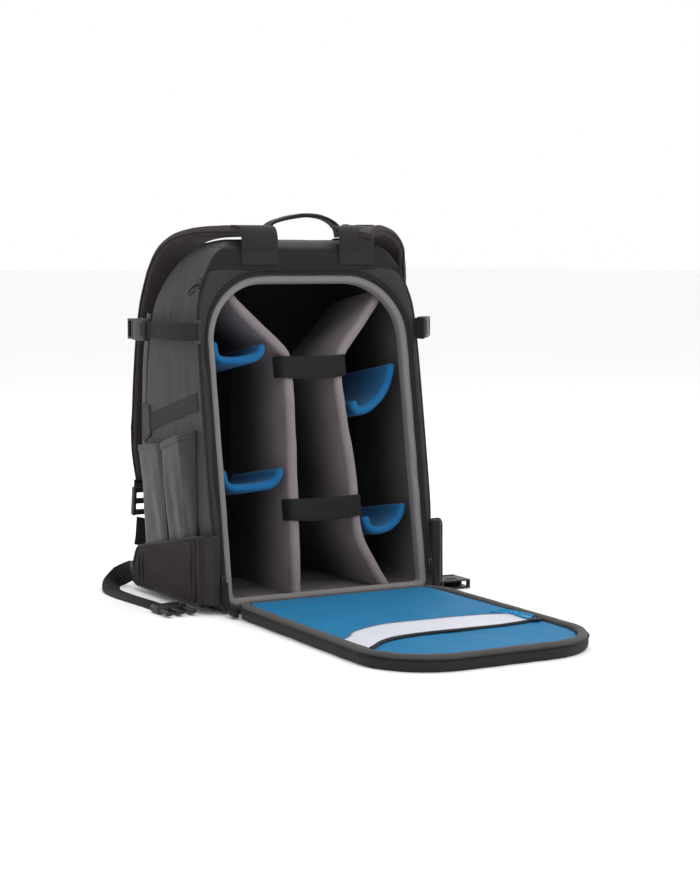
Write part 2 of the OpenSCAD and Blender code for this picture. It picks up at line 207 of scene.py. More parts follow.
def tidyMesh(mesh, sharp):
    bm = bmesh.new()
    bm.from_mesh(mesh)
    bmesh.ops.remove_doubles(bm, verts=bm.verts, dist=0.00002)
    bmesh.ops.dissolve_degenerate(bm, edges=bm.edges, dist=0.00002)
    loose = [v for v in bm.verts if not v.link_faces]
    bmesh.ops.delete(bm, geom=loose, context="VERTS")
    bmesh.ops.recalc_face_normals(bm, faces=bm.faces)
    for face in bm.faces:
        face.smooth = True
    for edge in bm.edges:
        edge.smooth = edge.calc_face_angle(0) < math.radians(sharp)
    bm.to_mesh(mesh)
    bm.free()


finishes = {}


def makePiece(name, parts, finish, body, instead=(), solid=0, soften=0, sharp=42):
    # parts: (points, faces) pairs; instead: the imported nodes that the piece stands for
    points, faces = [], []
    for partPoints, partFaces in parts:
        start = sum(len(p) for p in points)
        points.append(np.array(partPoints, float))
        faces += [tuple(start + i for i in face) for face in partFaces]
    mesh = bpy.data.meshes.new(name)
    mesh.from_pydata((np.vstack(points) * mm).tolist(), [], faces)
    tidyMesh(mesh, sharp)
    piece = bpy.data.objects.new(name, mesh)
    bpy.context.scene.collection.objects.link(piece)
    if solid:
        skin = piece.modifiers.new("thickness", "SOLIDIFY")
        skin.thickness = solid * mm
        skin.offset = 0
    if soften:
        extra = piece.modifiers.new("soften", "SUBSURF")
        extra.levels = soften
        extra.render_levels = soften
    mesh.materials.append(finishes[finish])
    if instead:
        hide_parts(*instead)
    if body:
        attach(piece, body)
    return piece


# finishes

class Link:  # one socket, so that shader maths reads as a formula
    def __init__(self, socket):
        self.socket = socket
        self.tree = socket.id_data

    def maths(self, operation, first, second):
        return addNode(self.tree, "ShaderNodeMath", {"operation": operation}, {0: first, 1: second})

    def __add__(self, other):
        return self.maths("ADD", self, other)

    def __radd__(self, other):
        return self.maths("ADD", other, self)

    def __sub__(self, other):
        return self.maths("SUBTRACT", self, other)

    def __rsub__(self, other):
        return self.maths("SUBTRACT", other, self)

    def __mul__(self, other):
        return self.maths("MULTIPLY", self, other)

    def __rmul__(self, other):
        return self.maths("MULTIPLY", other, self)


def feed(tree, socket, value):
    if isinstance(value, Link):
        tree.links.new(value.socket, socket)
    else:
        socket.default_value = value


def addNode(tree, kind, settings=None, inputs=None, output=0):
    node = tree.nodes.new(kind)
    for key, value in (settings or {}).items():
        if key == "stops":
            for extra in value[2:]:
                node.color_ramp.elements.new(extra[0])
            for element, (position, colour) in zip(node.color_ramp.elements, value):
                element.position = position
                element.color = (*colour, 1)
        else:
            setattr(node, key, value)
    for key, value in (inputs or {}).items():
        feed(tree, node.inputs[key], value)
    return Link(node.outputs[output])


def blendColours(tree, factor, first, second):
    settings = {"data_type": "RGBA", "blend_type": "MIX"}
    pair = [c if isinstance(c, Link) else (*c, 1) for c in (first, second)]
    return addNode(tree, "ShaderNodeMix", settings, {0: factor, 6: pair[0], 7: pair[1]}, 2)


def newFinish(name, slot):
    material = bpy.data.materials.new(name)
    material.use_nodes = True
    material["slot"] = slot
    finishes[name] = material
    tree = material.node_tree
    shader = next(n for n in tree.nodes if n.type == "BSDF_PRINCIPLED")
    place = addNode(tree, "ShaderNodeTexCoord", output=3)
    return material, tree, shader, place


def grain(tree, place, scale, detail=2.0, rough=0.5, stretch=None):
    at = place
    if stretch:
        at = addNode(tree, "ShaderNodeVectorMath", {"operation": "MULTIPLY"}, {0: place, 1: stretch})
    return addNode(tree, "ShaderNodeTexNoise", None,
                   {"Vector": at, "Scale": scale, "Detail": detail, "Roughness": rough}, 0)


def threads(tree, place, pitch):  # a plain weave, whichever way the cloth faces
    parts = addNode(tree, "ShaderNodeSeparateXYZ", None, {0: place})
    split = parts.socket.node
    x, y, z = (Link(split.outputs[k]) for k in range(3))
    turn = 2 * math.pi / (pitch * mm)

    def wave(value):
        return addNode(tree, "ShaderNodeMath", {"operation": "SINE"}, {0: value * turn})

    return wave(x + y * 0.93) * wave(z + (x - y) * 0.41)


def clothFinish(name, look):
    # look: colour, worn, weave pitch, bump, rough, sheen and slot
    material, tree, shader, place = newFinish(name, look["slot"])
    weave = threads(tree, place, look["pitch"])
    fuzz = grain(tree, place, look.get("fuzz", 900), 3.0, 0.6)
    cloud = grain(tree, place, look.get("cloud", 22), 3.0, 0.55)
    shade = 0.5 + weave * look.get("weaveShade", 0.16) + (fuzz - 0.5) * look.get("fuzzShade", 0.9)
    mixed = shade + (cloud - 0.5) * look.get("cloudShade", 0.9)
    colour = blendColours(tree, mixed, look["colour"], look["worn"])
    if "deep" in look:  # painted shade: the lining and the boards are darkened with depth behind the opening, where the shade falls
        parts = addNode(tree, "ShaderNodeSeparateXYZ", None, {0: place})
        y = Link(parts.socket.node.outputs[1])
        z = Link(parts.socket.node.outputs[2])
        depth = (y + 0.11) * 0.987 - z * 0.1616
        near, far = look["deepFrom"]
        factor = addNode(tree, "ShaderNodeMapRange", {"interpolation_type": "SMOOTHSTEP"},
                         {"Value": depth, "From Min": near * mm, "From Max": far * mm})
        colour = blendColours(tree, factor, colour, look["deep"])
    rough = look["rough"] + (fuzz - 0.5) * 0.12 + (cloud - 0.5) * 0.1
    height = weave * 0.5 + fuzz * look.get("fuzzBump", 0.6)
    if "crease" in look:  # soft creases a few centimetres long
        folds = grain(tree, place, 34, 4.0, 0.55, look.get("creaseWay", (1, 1, 0.45)))
        height = height + folds * look["crease"]
    bump = addNode(tree, "ShaderNodeBump", None,
                   {"Strength": look["bump"], "Distance": 0.0004, "Height": height})
    feed(tree, shader.inputs["Base Color"], colour)
    feed(tree, shader.inputs["Roughness"], rough)
    feed(tree, shader.inputs["Normal"], bump)
    shader.inputs["Sheen Weight"].default_value = look.get("sheen", 0.04)
    shader.inputs["Sheen Roughness"].default_value = 0.5
    shader.inputs["Specular IOR Level"].default_value = look.get("specular", 0.3)
    return material


def meshFinish(name, look):  # a knitted spacer mesh with small holes
    material, tree, shader, place = newFinish(name, look["slot"])
    cells = addNode(tree, "ShaderNodeTexVoronoi", {"feature": "F1"},
                    {"Vector": place, "Scale": look["cells"], "Randomness": 0.35}, 0)
    hole = addNode(tree, "ShaderNodeMapRange", {"interpolation_type": "SMOOTHSTEP"},
                   {"Value": cells, "From Min": 0.12, "From Max": 0.46})
    cloud = grain(tree, place, 26, 3.0)
    colour = blendColours(tree, hole, look["hole"], look["colour"])
    colour = blendColours(tree, cloud * 0.5, colour, look["worn"])
    bump = addNode(tree, "ShaderNodeBump", None,
                   {"Strength": 0.7, "Distance": 0.0006, "Height": hole})
    feed(tree, shader.inputs["Base Color"], colour)
    feed(tree, shader.inputs["Roughness"], 0.95 - hole * 0.12)
    feed(tree, shader.inputs["Normal"], bump)
    shader.inputs["Sheen Weight"].default_value = 0.05
    shader.inputs["Specular IOR Level"].default_value = 0.12
    return material


def webFinish(name, look):  # ribbed webbing and ribbed rubber
    material, tree, shader, place = newFinish(name, look["slot"])
    weave = threads(tree, place, look["pitch"])
    fuzz = grain(tree, place, 1400, 2.0)
    colour = blendColours(tree, 0.5 + weave * 0.32 + (fuzz - 0.5) * 0.8, look["colour"], look["worn"])
    bump = addNode(tree, "ShaderNodeBump", None,
                   {"Strength": look["bump"], "Distance": 0.0005, "Height": weave + fuzz * 0.3})
    feed(tree, shader.inputs["Base Color"], colour)
    feed(tree, shader.inputs["Roughness"], look["rough"] + (fuzz - 0.5) * 0.2)
    feed(tree, shader.inputs["Normal"], bump)
    shader.inputs["Specular IOR Level"].default_value = look.get("specular", 0.35)
    return material


def hardFinish(name, look):  # moulded plastic, painted and bare metal
    material, tree, shader, place = newFinish(name, look["slot"])
    speck = grain(tree, place, 1800, 2.0)
    cloud = grain(tree, place, 60, 3.0)
    colour = blendColours(tree, cloud, look["colour"], look["worn"])
    bump = addNode(tree, "ShaderNodeBump", None,
                   {"Strength": look["bump"], "Distance": 0.0002, "Height": speck})
    feed(tree, shader.inputs["Base Color"], colour)
    feed(tree, shader.inputs["Roughness"], look["rough"] + (speck - 0.5) * 0.15 + (cloud - 0.5) * 0.1)
    feed(tree, shader.inputs["Normal"], bump)
    shader.inputs["Metallic"].default_value = look.get("metal", 0)
    shader.inputs["Specular IOR Level"].default_value = look.get("specular", 0.3)
    return material


cloths = {
    "shell": {"crease": 9, "slot": "shell_fabric", "colour": (0.0112, 0.0116, 0.0127),
              "worn": (0.0194, 0.0198, 0.0213),
              "pitch": 1.1, "bump": 0.35, "rough": 0.52, "sheen": 0.05, "specular": 0.22},
    "pocket": {"crease": 13, "slot": "pocket_fabric", "colour": (0.00973, 0.00996, 0.0107),
               "worn": (0.0158, 0.016, 0.0169),
               "pitch": 1.0, "bump": 0.25, "rough": 0.43, "sheen": 0.06, "specular": 0.32},
    "yoke": {"crease": 6, "slot": "dark_fabric", "colour": (0.00768, 0.00792, 0.00864),
             "worn": (0.0139, 0.0144, 0.0154),
             "pitch": 1.0, "bump": 0.4, "rough": 0.7, "sheen": 0.04, "specular": 0.14},
    "binding": {"crease": 6, "slot": "binding", "colour": (0.139, 0.128, 0.128),
                "worn": (0.199, 0.185, 0.184),
                "pitch": 0.9, "specular": 0.2, "bump": 0.35, "rough": 0.8, "sheen": 0.1, "cloudShade": 0.7},
    "flapEdge": {"crease": 6, "slot": "binding", "colour": (0.0436, 0.0401, 0.0401),
                 "worn": (0.0624, 0.0581, 0.0578),
                "pitch": 0.9, "specular": 0.2, "bump": 0.35, "rough": 0.8, "sheen": 0.1, "cloudShade": 0.7},
    # the lining's darkest colour is painted shade deep inside the bag, blended in with depth
    "lining": {"crease": 6, "slot": "padded_lining", "colour": (0.074, 0.0645, 0.0663),
               "worn": (0.115, 0.103, 0.105),
               "pitch": 1.3, "specular": 0.15, "bump": 0.3, "rough": 0.85, "sheen": 0.1,
               "deep": (0.006, 0.006, 0.006), "deepFrom": (30, 115)},
    # the boards' darkest colour is painted shade deep inside the bag, blended in with depth
    "divider": {"crease": 6, "slot": "padded_lining", "colour": (0.153, 0.127, 0.135),
                "worn": (0.242, 0.208, 0.219),
                "pitch": 1.3, "specular": 0.15, "bump": 0.3, "rough": 0.88, "sheen": 0.12,
                "deep": (0.008, 0.008, 0.008), "deepFrom": (38, 135)},
    "blueLining": {"crease": 8, "slot": "blue_lining", "colour": (0.00264, 0.116, 0.261),
                   "worn": (0.00485, 0.17, 0.349),
                   "pitch": 1.0, "specular": 0.08, "bump": 0.3, "rough": 0.55, "sheen": 0.04,
                   "cloudShade": 0.6},
    "bluePad": {"crease": 8, "slot": "blue_pad", "colour": (0.00385, 0.0717, 0.196),
                "worn": (0.00847, 0.123, 0.295),
                "pitch": 1.3, "specular": 0.15, "bump": 0.3, "rough": 0.82, "sheen": 0.06, "cloudShade": 0.6},
    "white": {"crease": 6, "slot": "white_fabric", "colour": (0.477, 0.493, 0.57),
              "worn": (0.616, 0.624, 0.678),
              "pitch": 1.0, "specular": 0.2, "bump": 0.25, "rough": 0.6, "sheen": 0.04, "cloudShade": 0.5},
    "padded": {"crease": 5, "slot": "padded_black", "colour": (0.0096, 0.0096, 0.0104),
               "worn": (0.0192, 0.0192, 0.0208),
               "pitch": 1.4, "specular": 0.16, "bump": 0.6, "rough": 0.72, "sheen": 0.04},
    "tape": {"slot": "zip_tape", "colour": (0.0064, 0.0064, 0.0072), "worn": (0.0144, 0.0144, 0.016),
             "pitch": 0.8, "specular": 0.14, "bump": 0.5, "rough": 0.65, "sheen": 0.1},
    "thread": {"slot": "binding", "colour": (0.09, 0.0873, 0.0873), "worn": (0.153, 0.148, 0.148),
               "pitch": 0.3, "specular": 0.2, "bump": 0.3, "rough": 0.7, "sheen": 0.04},
    "darkThread": {"slot": "webbing", "colour": (0.03, 0.03, 0.032), "worn": (0.055, 0.055, 0.058),
                   "pitch": 0.3, "specular": 0.2, "bump": 0.3, "rough": 0.65, "sheen": 0.04},
    "beltEdge": {"slot": "belt_mesh", "colour": (0.0154, 0.0126, 0.0133), "worn": (0.028, 0.0238, 0.0252),
                 "pitch": 0.9, "specular": 0.14, "bump": 0.4, "rough": 0.7, "sheen": 0.06},
    "strapTop": {"crease": 5, "slot": "harness_mesh", "colour": (0.026, 0.022, 0.022),
                 "worn": (0.048, 0.042, 0.042),
                 "pitch": 1.1, "specular": 0.18, "bump": 0.45, "rough": 0.66, "sheen": 0.06},
    "wrap": {"crease": 5, "slot": "harness_mesh", "colour": (0.00999, 0.00846, 0.00846),
             "worn": (0.0185, 0.0161, 0.0161),
                 "pitch": 1.1, "specular": 0.18, "bump": 0.45, "rough": 0.66, "sheen": 0.06},
}
meshes = {
    "belt": {"slot": "belt_mesh", "colour": (0.0169, 0.0107, 0.0129), "worn": (0.0263, 0.0179, 0.0208),
             "hole": (0.00424, 0.00286, 0.00342), "cells": 520},
    "harness": {"slot": "harness_mesh", "colour": (0.041, 0.031, 0.0301), "worn": (0.0638, 0.0511, 0.0502),
                "hole": (0.00912, 0.0073, 0.0073), "cells": 430},
}
webs = {
    "webbing": {"slot": "webbing", "colour": (0.0056, 0.0056, 0.0063), "worn": (0.0182, 0.0182, 0.0196),
                "pitch": 1.7, "specular": 0.2, "bump": 0.6, "rough": 0.58},
    "elastic": {"slot": "webbing", "colour": (0.0084, 0.0084, 0.0084), "worn": (0.0216, 0.0216, 0.0216),
                "pitch": 1.2, "specular": 0.12, "bump": 0.5, "rough": 0.75},
    "cyan": {"slot": "cyan_cord", "colour": (0.0096, 0.23, 0.499), "worn": (0.0288, 0.384, 0.691),
             "pitch": 0.9, "specular": 0.2, "bump": 0.6, "rough": 0.55},
    "blackCord": {"slot": "webbing", "colour": (0.0056, 0.0056, 0.0064), "worn": (0.0176, 0.0176, 0.0192),
                  "pitch": 0.9, "specular": 0.2, "bump": 0.6, "rough": 0.55},
}
hards = {
    "plastic": {"slot": "moulded_plastic", "colour": (0.010, 0.010, 0.011), "worn": (0.018, 0.018, 0.019),
                "bump": 0.25, "rough": 0.42},
    "slider": {"slot": "slider_metal", "colour": (0.016, 0.016, 0.018), "worn": (0.040, 0.040, 0.042),
               "bump": 0.15, "rough": 0.36, "metal": 0.6},
    "coil": {"slot": "zip_tape", "colour": (0.010, 0.010, 0.011), "worn": (0.024, 0.024, 0.026),
             "bump": 0.1, "rough": 0.40},
}
for family, maker in ((cloths, clothFinish), (meshes, meshFinish), (webs, webFinish), (hards, hardFinish)):
    for finishName, finishLook in family.items():
        maker(finishName, finishLook)
print("finishes made")


# the two leaning frames

lean = math.radians(9.3)
faceY = -110
hinge = {"s": 13.6, "v": -4.3, "y": -112.046, "z": 14.116}


def facePoints(points):  # (x, height up the face, depth into the bag) to the bag's frame
    x, s, v = np.moveaxis(np.array(points, float), -1, 0)
    y = faceY + v * math.cos(lean) + s * math.sin(lean)
    return np.stack([x, y, s * math.cos(lean) - v * math.sin(lean)], -1)


def flapPoints(points):  # the same coordinates with the flap turned down on the floor
    x, s, v = np.moveaxis(np.array(points, float), -1, 0)
    return np.stack([x, hinge["y"] - (s - hinge["s"]), hinge["z"] + v - hinge["v"]], -1)


def sideOf(points, side):  # left is -1: the same points mirrored
    return np.array(points, float) * (side, 1, 1)


sides = {"left": -1, "right": 1}

# cords: the waist webbing and the flap's pull

waistWeb = {
    "width": 25, "thick": 1.8,
    "path": [(153, 103.5, 20), (154, 116, 19), (157, 126, 15), (163, 130, 11), (172, 124, 6),
             (182, 108, 2.5), (188, 84, 1.2), (189, 56, 1.2), (187, 28, 1.2), (184, 0, 1.2),
             (182, -26, 1.2), (181, -50, 1.2)],
    "across": [(0, 0, 1), (0, 0.1, 1), (0.2, 0.3, 0.9), (0.63, 0.93, 0.86), (0.73, 0.63, 0.1),
               (0.92, 0.37, 0.02), (1, 0.13, 0), (1, 0, 0), (1, 0.1, 0), (1, 0.1, 0),
               (1, 0.1, 0), (1, 0.1, 0)],
}
waistPieces = {}
for name, side in sides.items():
    path = smoothLine(sideOf(waistWeb["path"], side), 36)
    path[:, 2] = np.maximum(path[:, 2], 1.2)
    rows = sweptRows(path, sideOf(waistWeb["across"], side),
                     roundRect(waistWeb["width"], waistWeb["thick"], 0.8, 2))
    rows[..., 2] = np.maximum(rows[..., 2], 0.2)
    piece = makePiece("waistWebbing_" + name, [gridPart(rows)], "webbing", "belt_" + name,
                      ["waist_web_" + name])
    waistPieces[name] = (piece, path)

pullCord = {
    "diameter": 2.6, "v": -1.4,
    "strands": [[(108, 264), (112, 256), (114, 246), (112, 236), (107, 228), (101, 221), (94, 214),
                 (90, 206)],
                [(104, 264), (102, 256), (102, 246), (103, 236), (106, 228), (108, 220), (107, 211),
                 (103, 204)]],
}
for number, strand in enumerate(pullCord["strands"]):
    path = smoothLine([(x, s, pullCord["v"]) for x, s in strand], 24)
    path[:, 2] += 1.1 * number * np.exp(-((path[:, 1] - 228) / 5) ** 2)  # one passes over the other
    path = flapPoints(path)
    piece = makePiece(f"pullCord_{number + 1}", [tubePart(path, pullCord["diameter"], 10)], "cyan",
                      "flap_slider",
                      ["flap_pull_cord"] if number == 0 else [])
    path[0] * mm
    pullCord["diameter"] * mm
    path * mm
knot = [(106.2 + 3.1 * math.cos(a), 227.5 + 2.4 * math.sin(a), -1.0 + 1.1 * math.sin(2 * a))
        for a in np.linspace(0, 2 * math.pi, 22, endpoint=False)]
makePiece("pullCordKnot", [tubePart(flapPoints(knot), 2.4, 8, closed=True)], "cyan", "flap_slider")
print("cords laid")

# the shell: walls swept from the face to the far panel

shell = {
    "right": [(100, 0), (118, 0), (127, 1.5), (132, 6), (135, 15), (137, 45), (139, 82), (141, 115),
              (141.4, 200), (141, 286), (139, 335), (133, 360), (124, 381), (114, 397), (104, 406.5)],
    "top": [(104, 406.5), (95, 411.5), (82, 415.5), (66, 417), (30, 418), (-30, 418), (-66, 417),
            (-82, 415.5), (-95, 411.5), (-104, 406.5)],
    "far": [(0, 72), (10, 90), (50, 102), (110, 108), (205, 108), (265, 103), (335, 88), (385, 62),
            (408, 30), (416, 0)],
    "crown": [(-50, 402), (-43.8, 404), (-37, 409), (-28, 413), (-10, 415.3), (6, 415.7), (18, 412.5),
              (30, 408), (46, 399.5), (62, 385)],
    "edge": 22, "middle": 209, "halfWidth": 141, "sag": 1.6,
}
farCurve = smoothLine(shell["far"], 300)
crownCurve = smoothLine(shell["crown"], 300)


def farY(z):
    return np.interp(z, farCurve[:, 0], farCurve[:, 1])


def crownZ(y):
    return np.interp(y, crownCurve[:, 0], crownCurve[:, 1], left=404, right=385)


def shellRows(line, count=44, inset=0.0, front=0.0, wave=0.8, seed=1):
    # line: (x, z) points of the outline; rows run back from the face and round the far edge
    x = line[:, 0] * (1 - inset / shell["halfWidth"])
    z = shell["middle"] + (line[:, 1] - shell["middle"]) * (1 - inset / shell["middle"])
    z = np.maximum(z, 1.5)
    yFront = np.minimum(faceY + z * math.tan(lean), -43.8) + front
    yFront = yFront + np.clip(6 - z, 0, 6)
    yBack = farY(np.minimum(z, 400)) - inset - shell["edge"]
    rows = []
    for t in np.linspace(0, 1, count):
        y = yFront + (yBack - yFront) * t
        puff = shell["sag"] * math.sin(math.pi * t) * (np.abs(x) > 100) * (z > 8)
        rows.append(np.stack([x + np.sign(x) * puff, y, np.minimum(z, crownZ(y) - inset)], 1))
    last = rows[-1]
    for turn in (15, 30, 45, 60, 75, 90):
        a = math.radians(turn)
        draw = shell["edge"] * (1 - math.cos(a))
        newX = last[:, 0] * (1 - draw / shell["halfWidth"])
        newZ = shell["middle"] + (last[:, 2] - shell["middle"]) * (1 - draw / shell["middle"])
        back = farY(newZ) - inset - shell["edge"] * (1 - math.sin(a))
        rows.append(np.stack([newX, back, newZ], 1))
    rows = np.array(rows)
    if wave:
        fade = np.sin(np.linspace(0, math.pi, count))[:, None]
        bumps = ripple(rows[:count], 90, seed) + 0.5 * ripple(rows[:count], 38, seed + 1)
        outward = unitRows(rows[:count] * (1, 0, 1) - np.array((0, 0, shell["middle"])))
        rows[:count] -= outward * (np.abs(bumps) * fade * wave)[..., None]
    return rows


rightLine = smoothLine(shell["right"], 84)
topLine = smoothLine(shell["top"], 64)
leftLine = rightLine[::-1] * (-1, 1)
baseLine = np.stack([np.linspace(-100, 100, 34), np.zeros(34)], 1)
outlineLines = {"right": rightLine, "top": topLine, "left": leftLine, "base": baseLine}
wallRows = {key: shellRows(line, seed=3) for key, line in outlineLines.items()}
for key, node in (("left", "side_panel_left"), ("right", "side_panel_right"), ("top", "top_panel")):
    makePiece(key + "Panel", [gridPart(wallRows[key][:44], ring=False)], "shell", "bag", [node], solid=2.4)
makePiece("basePanel", [gridPart(wallRows["base"][:44], ring=False)], "yoke", "bag", ["base_panel"], solid=2)


def capRows(rimRows, inset=0.0):  # the far panel: rounded edge rows, then rows drawn in to the middle
    rim = rimRows[-1]
    rows = list(rimRows[-7:])
    for share in (0.9, 0.78, 0.64, 0.5, 0.36, 0.22, 0.08, 0.004):
        x = rim[:, 0] * share
        z = shell["middle"] + (rim[:, 2] - shell["middle"]) * share
        rows.append(np.stack([x, farY(z) - inset, z], 1))
    return np.array(rows)


ringRows = np.concatenate([wallRows[key][:, :-1] for key in ("right", "top", "left", "base")], 1)
makePiece("frontPanel", [gridPart(capRows(ringRows), capped=False)], "shell", "bag", ["front_panel"], solid=2)

piping = {"diameter": 3.4, "seam": 2.2}
faceEdge = evenly(ringRows[0], 300, closed=True)
makePiece("facePiping", [tubePart(faceEdge + (0, -0.4, 0), piping["diameter"], 8, closed=True)], "tape",
          "bag")
makePiece("farPiping", [tubePart(ringRows[43], piping["seam"], 6, closed=True)], "tape", "bag")
secondEdge = evenly(ringRows[4], 300, closed=True)
makePiece("gussetSeam", [tubePart(secondEdge, 1.5, 6, closed=True)], "tape", "bag")
gussetStitches = stitchParts(ringRows[6][:84], (1, 0, 0.2))
gussetStitches += stitchParts(ringRows[6][146:230], (-1, 0, 0.2))
makePiece("gussetStitches", gussetStitches, "darkThread", "bag")
print("shell built")

# the face: surround, yoke, binding and zip

opening = {"half": 131, "top": 382, "bottom": 8, "corner": 78}


def openingLine(out=0.0, count=260):  # (x, s) round the opening, moved outward by out
    half, corner = opening["half"], opening["corner"]
    points = []
    for side in (1, -1):
        arcs = [(half - 14, opening["bottom"] + 14, 14 + out, -90),
                (half - corner, opening["top"] - corner, corner + out, 0)]
        for cx, cz, radius, start in arcs:
            part = [(side * (cx + radius * math.cos(math.radians(start + t))),
                     cz + radius * math.sin(math.radians(start + t))) for t in range(0, 91, 6)]
            points.append(part)
    line = points[0] + points[1] + points[3][::-1] + points[2][::-1]
    return evenly(line, count, closed=True)


outerLine = evenly(np.concatenate([line[:-1] for line in (rightLine, topLine, leftLine, baseLine)]), 260,
                   closed=True)
start = np.argmin(np.linalg.norm(outerLine - (128, 2), axis=1))
outerLine = np.roll(outerLine, -start, 0)
innerLine = openingLine(-0.4)
start = np.argmin(np.linalg.norm(innerLine - (126, 10), axis=1))
innerLine = np.roll(innerLine, -start, 0)
faceRows = []
for t in np.linspace(0, 1, 9):
    flat = innerLine + (np.minimum(outerLine, (999, 408)) / (1, math.cos(lean)) - innerLine) * t
    swell = -2.0 * math.sin(math.pi * t) ** 0.8
    ripples = 0.5 * ripple(np.column_stack([flat, flat[:, 0] * 0]), 60, 4) * math.sin(math.pi * t)
    faceRows.append(facePoints(np.column_stack([flat, np.full(len(flat), swell) + ripples])))
backRow = facePoints(np.column_stack([innerLine, np.full(len(innerLine), 11.0)]))
makePiece("openingSurround", [gridPart(np.array([backRow] + faceRows), capped=False)], "shell", "bag",
          ["surround"], solid=1.6)

yoke = {"low": 386.3, "proud": 2.6, "stitchColumns": (-41, 37, 72, 110)}
yokeTop = np.array([p for p in outerLine if p[1] > 378])
yokeTop = evenly(yokeTop[np.argsort(-yokeTop[:, 0])], 70)
yokeTop[:, 1] = np.minimum(yokeTop[:, 1], 406) / math.cos(lean)
yokeLow = np.column_stack([np.linspace(yokeTop[0, 0], yokeTop[-1, 0], 70), np.full(70, yoke["low"])])
yokeRows = []
for t, lift in ((0, 0.4), (0.03, yoke["proud"] - 0.5), (0.1, yoke["proud"]), (0.3, yoke["proud"] + 0.5),
                (0.5, yoke["proud"] + 0.7), (0.7, yoke["proud"] + 0.5), (0.9, yoke["proud"]),
                (1, yoke["proud"] - 0.8)):
    flat = yokeLow + (yokeTop - yokeLow) * t
    yokeRows.append(facePoints(np.column_stack([flat, np.full(70, -lift)])))
makePiece("yokeBand", [gridPart(np.array(yokeRows), ring=False)], "yoke", "bag", ["yoke_band"], solid=1.4)
yokeStitches = stitchParts(facePoints([(x, yoke["low"] + 2.2, -yoke["proud"] - 0.6) for x in (-120, 120)]),
                           (0, -1, 0.16))
for x in yoke["stitchColumns"]:
    yokeStitches += stitchParts(facePoints([(x, yoke["low"] + 3, -3.6), (x, 406, -3.8)]), (0, -1, 0.16))
makePiece("yokeStitches", yokeStitches, "darkThread", "bag")

bindingShape = [(0.2, 11.6), (0.1, 5), (0.3, 2.6), (1.4, 1.2), (3.4, 0.5), (5.6, 0.4), (7.8, 0.9), (9.3, 2.0),
                (9.9, 4), (10, 7), (9.9, 11.6)]


def ringAround(line, shape, place, wave=0.0, seed=1):
    # a closed ring whose section is drawn as (inward from the line, depth)
    ahead = headings(line, closed=True)
    inward = np.column_stack([-ahead[:, 1], ahead[:, 0]])
    if (inward * (line.mean(0) - line)).sum() < 0:
        inward = -inward
    rows = []
    for k in range(len(line)):
        rows.append([(line[k, 0] + d * inward[k, 0], line[k, 1] + d * inward[k, 1], v) for d, v in shape])
    rows = np.array(rows)
    if wave:
        rows[..., 2] += wave * ripple(rows, 26, seed) * (np.arange(len(shape)) > 2)
    return place(rows)


makePiece("openingBinding", [gridPart(ringAround(openingLine(), bindingShape, facePoints, 0.45, 8),
                                      loop=True)],
          "binding", "bag", ["opening_rim"])
bindingStitch = ringAround(openingLine(count=500), [(2.2, 0.85)], facePoints)[:, 0]
makePiece("bindingStitches", stitchParts(bindingStitch, (0, -1, 0.16), 3.2, 0.45), "thread", "bag")

mainZip = {"out": 2.6, "tape": 6.4, "loops": 560}


def zipCoil(line, place, v, turns):  # one row of coil loops along a line
    parts = []
    nodes = evenly(line, turns)
    ahead = headings(nodes)
    for k in range(turns):
        out = np.array((ahead[k, 1], -ahead[k, 0]))
        a = nodes[k] + out * 1.1
        b = nodes[k] - out * 1.1
        loop = [(a[0], a[1], v + 0.3), (nodes[k, 0], nodes[k, 1], v - 0.7), (b[0], b[1], v + 0.3)]
        parts.append(tubePart(place(loop), 0.95, 5))
    return parts


tapeLine = openingLine(mainZip["out"], 300)
tapeLine = tapeLine[tapeLine[:, 1] > 24]
tapeLine = tapeLine[np.argsort(np.unwrap(np.arctan2(tapeLine[:, 0], tapeLine[:, 1] - 190)))]
tapeAt = facePoints(np.column_stack([tapeLine, np.full(len(tapeLine), -2.2)]))
tapeAcross = np.cross(headings(tapeAt), (0, -0.987, 0.162))
makePiece("mainZipTape", [slabPart(tapeAt, tapeAcross, mainZip["tape"], 0.9)], "tape", "bag",
          ["main_zip_tape"])
makePiece("mainZipCoil", zipCoil(tapeLine, facePoints, -3.0, mainZip["loops"]), "coil", "bag")
print("face built")

# the padded inside

lining = {"thick": 9.2, "front": 13, "back": 12}
innerWalls = [shellRows(line, 40, lining["thick"], lining["front"], 0.9, seed=11)
              for line in (rightLine, topLine, leftLine, baseLine)]
for key, rows in zip(("right", "top", "left", "base"), innerWalls):
    makePiece(f"{key}Lining", [gridPart(rows[:40], ring=False)], "lining", "bag", [f"lining_{key}"], solid=2)
innerRing = np.concatenate([rows[:, :-1] for rows in innerWalls], 1)
makePiece("farLining", [gridPart(capRows(innerRing, lining["thick"]), capped=False)], "lining", "bag",
          ["lining_front"], solid=2)


def deepestV(s, start=150.0):  # how deep a board reaches at a height up the face
    depth = np.full(np.shape(s), start)
    for _ in range(12):
        z = np.maximum(s * math.cos(lean) - depth * math.sin(lean), 12)
        reach = (farY(z) - lining["back"] - faceY - s * math.sin(lean)) / math.cos(lean)
        depth = 0.5 * depth + 0.5 * reach
    return depth


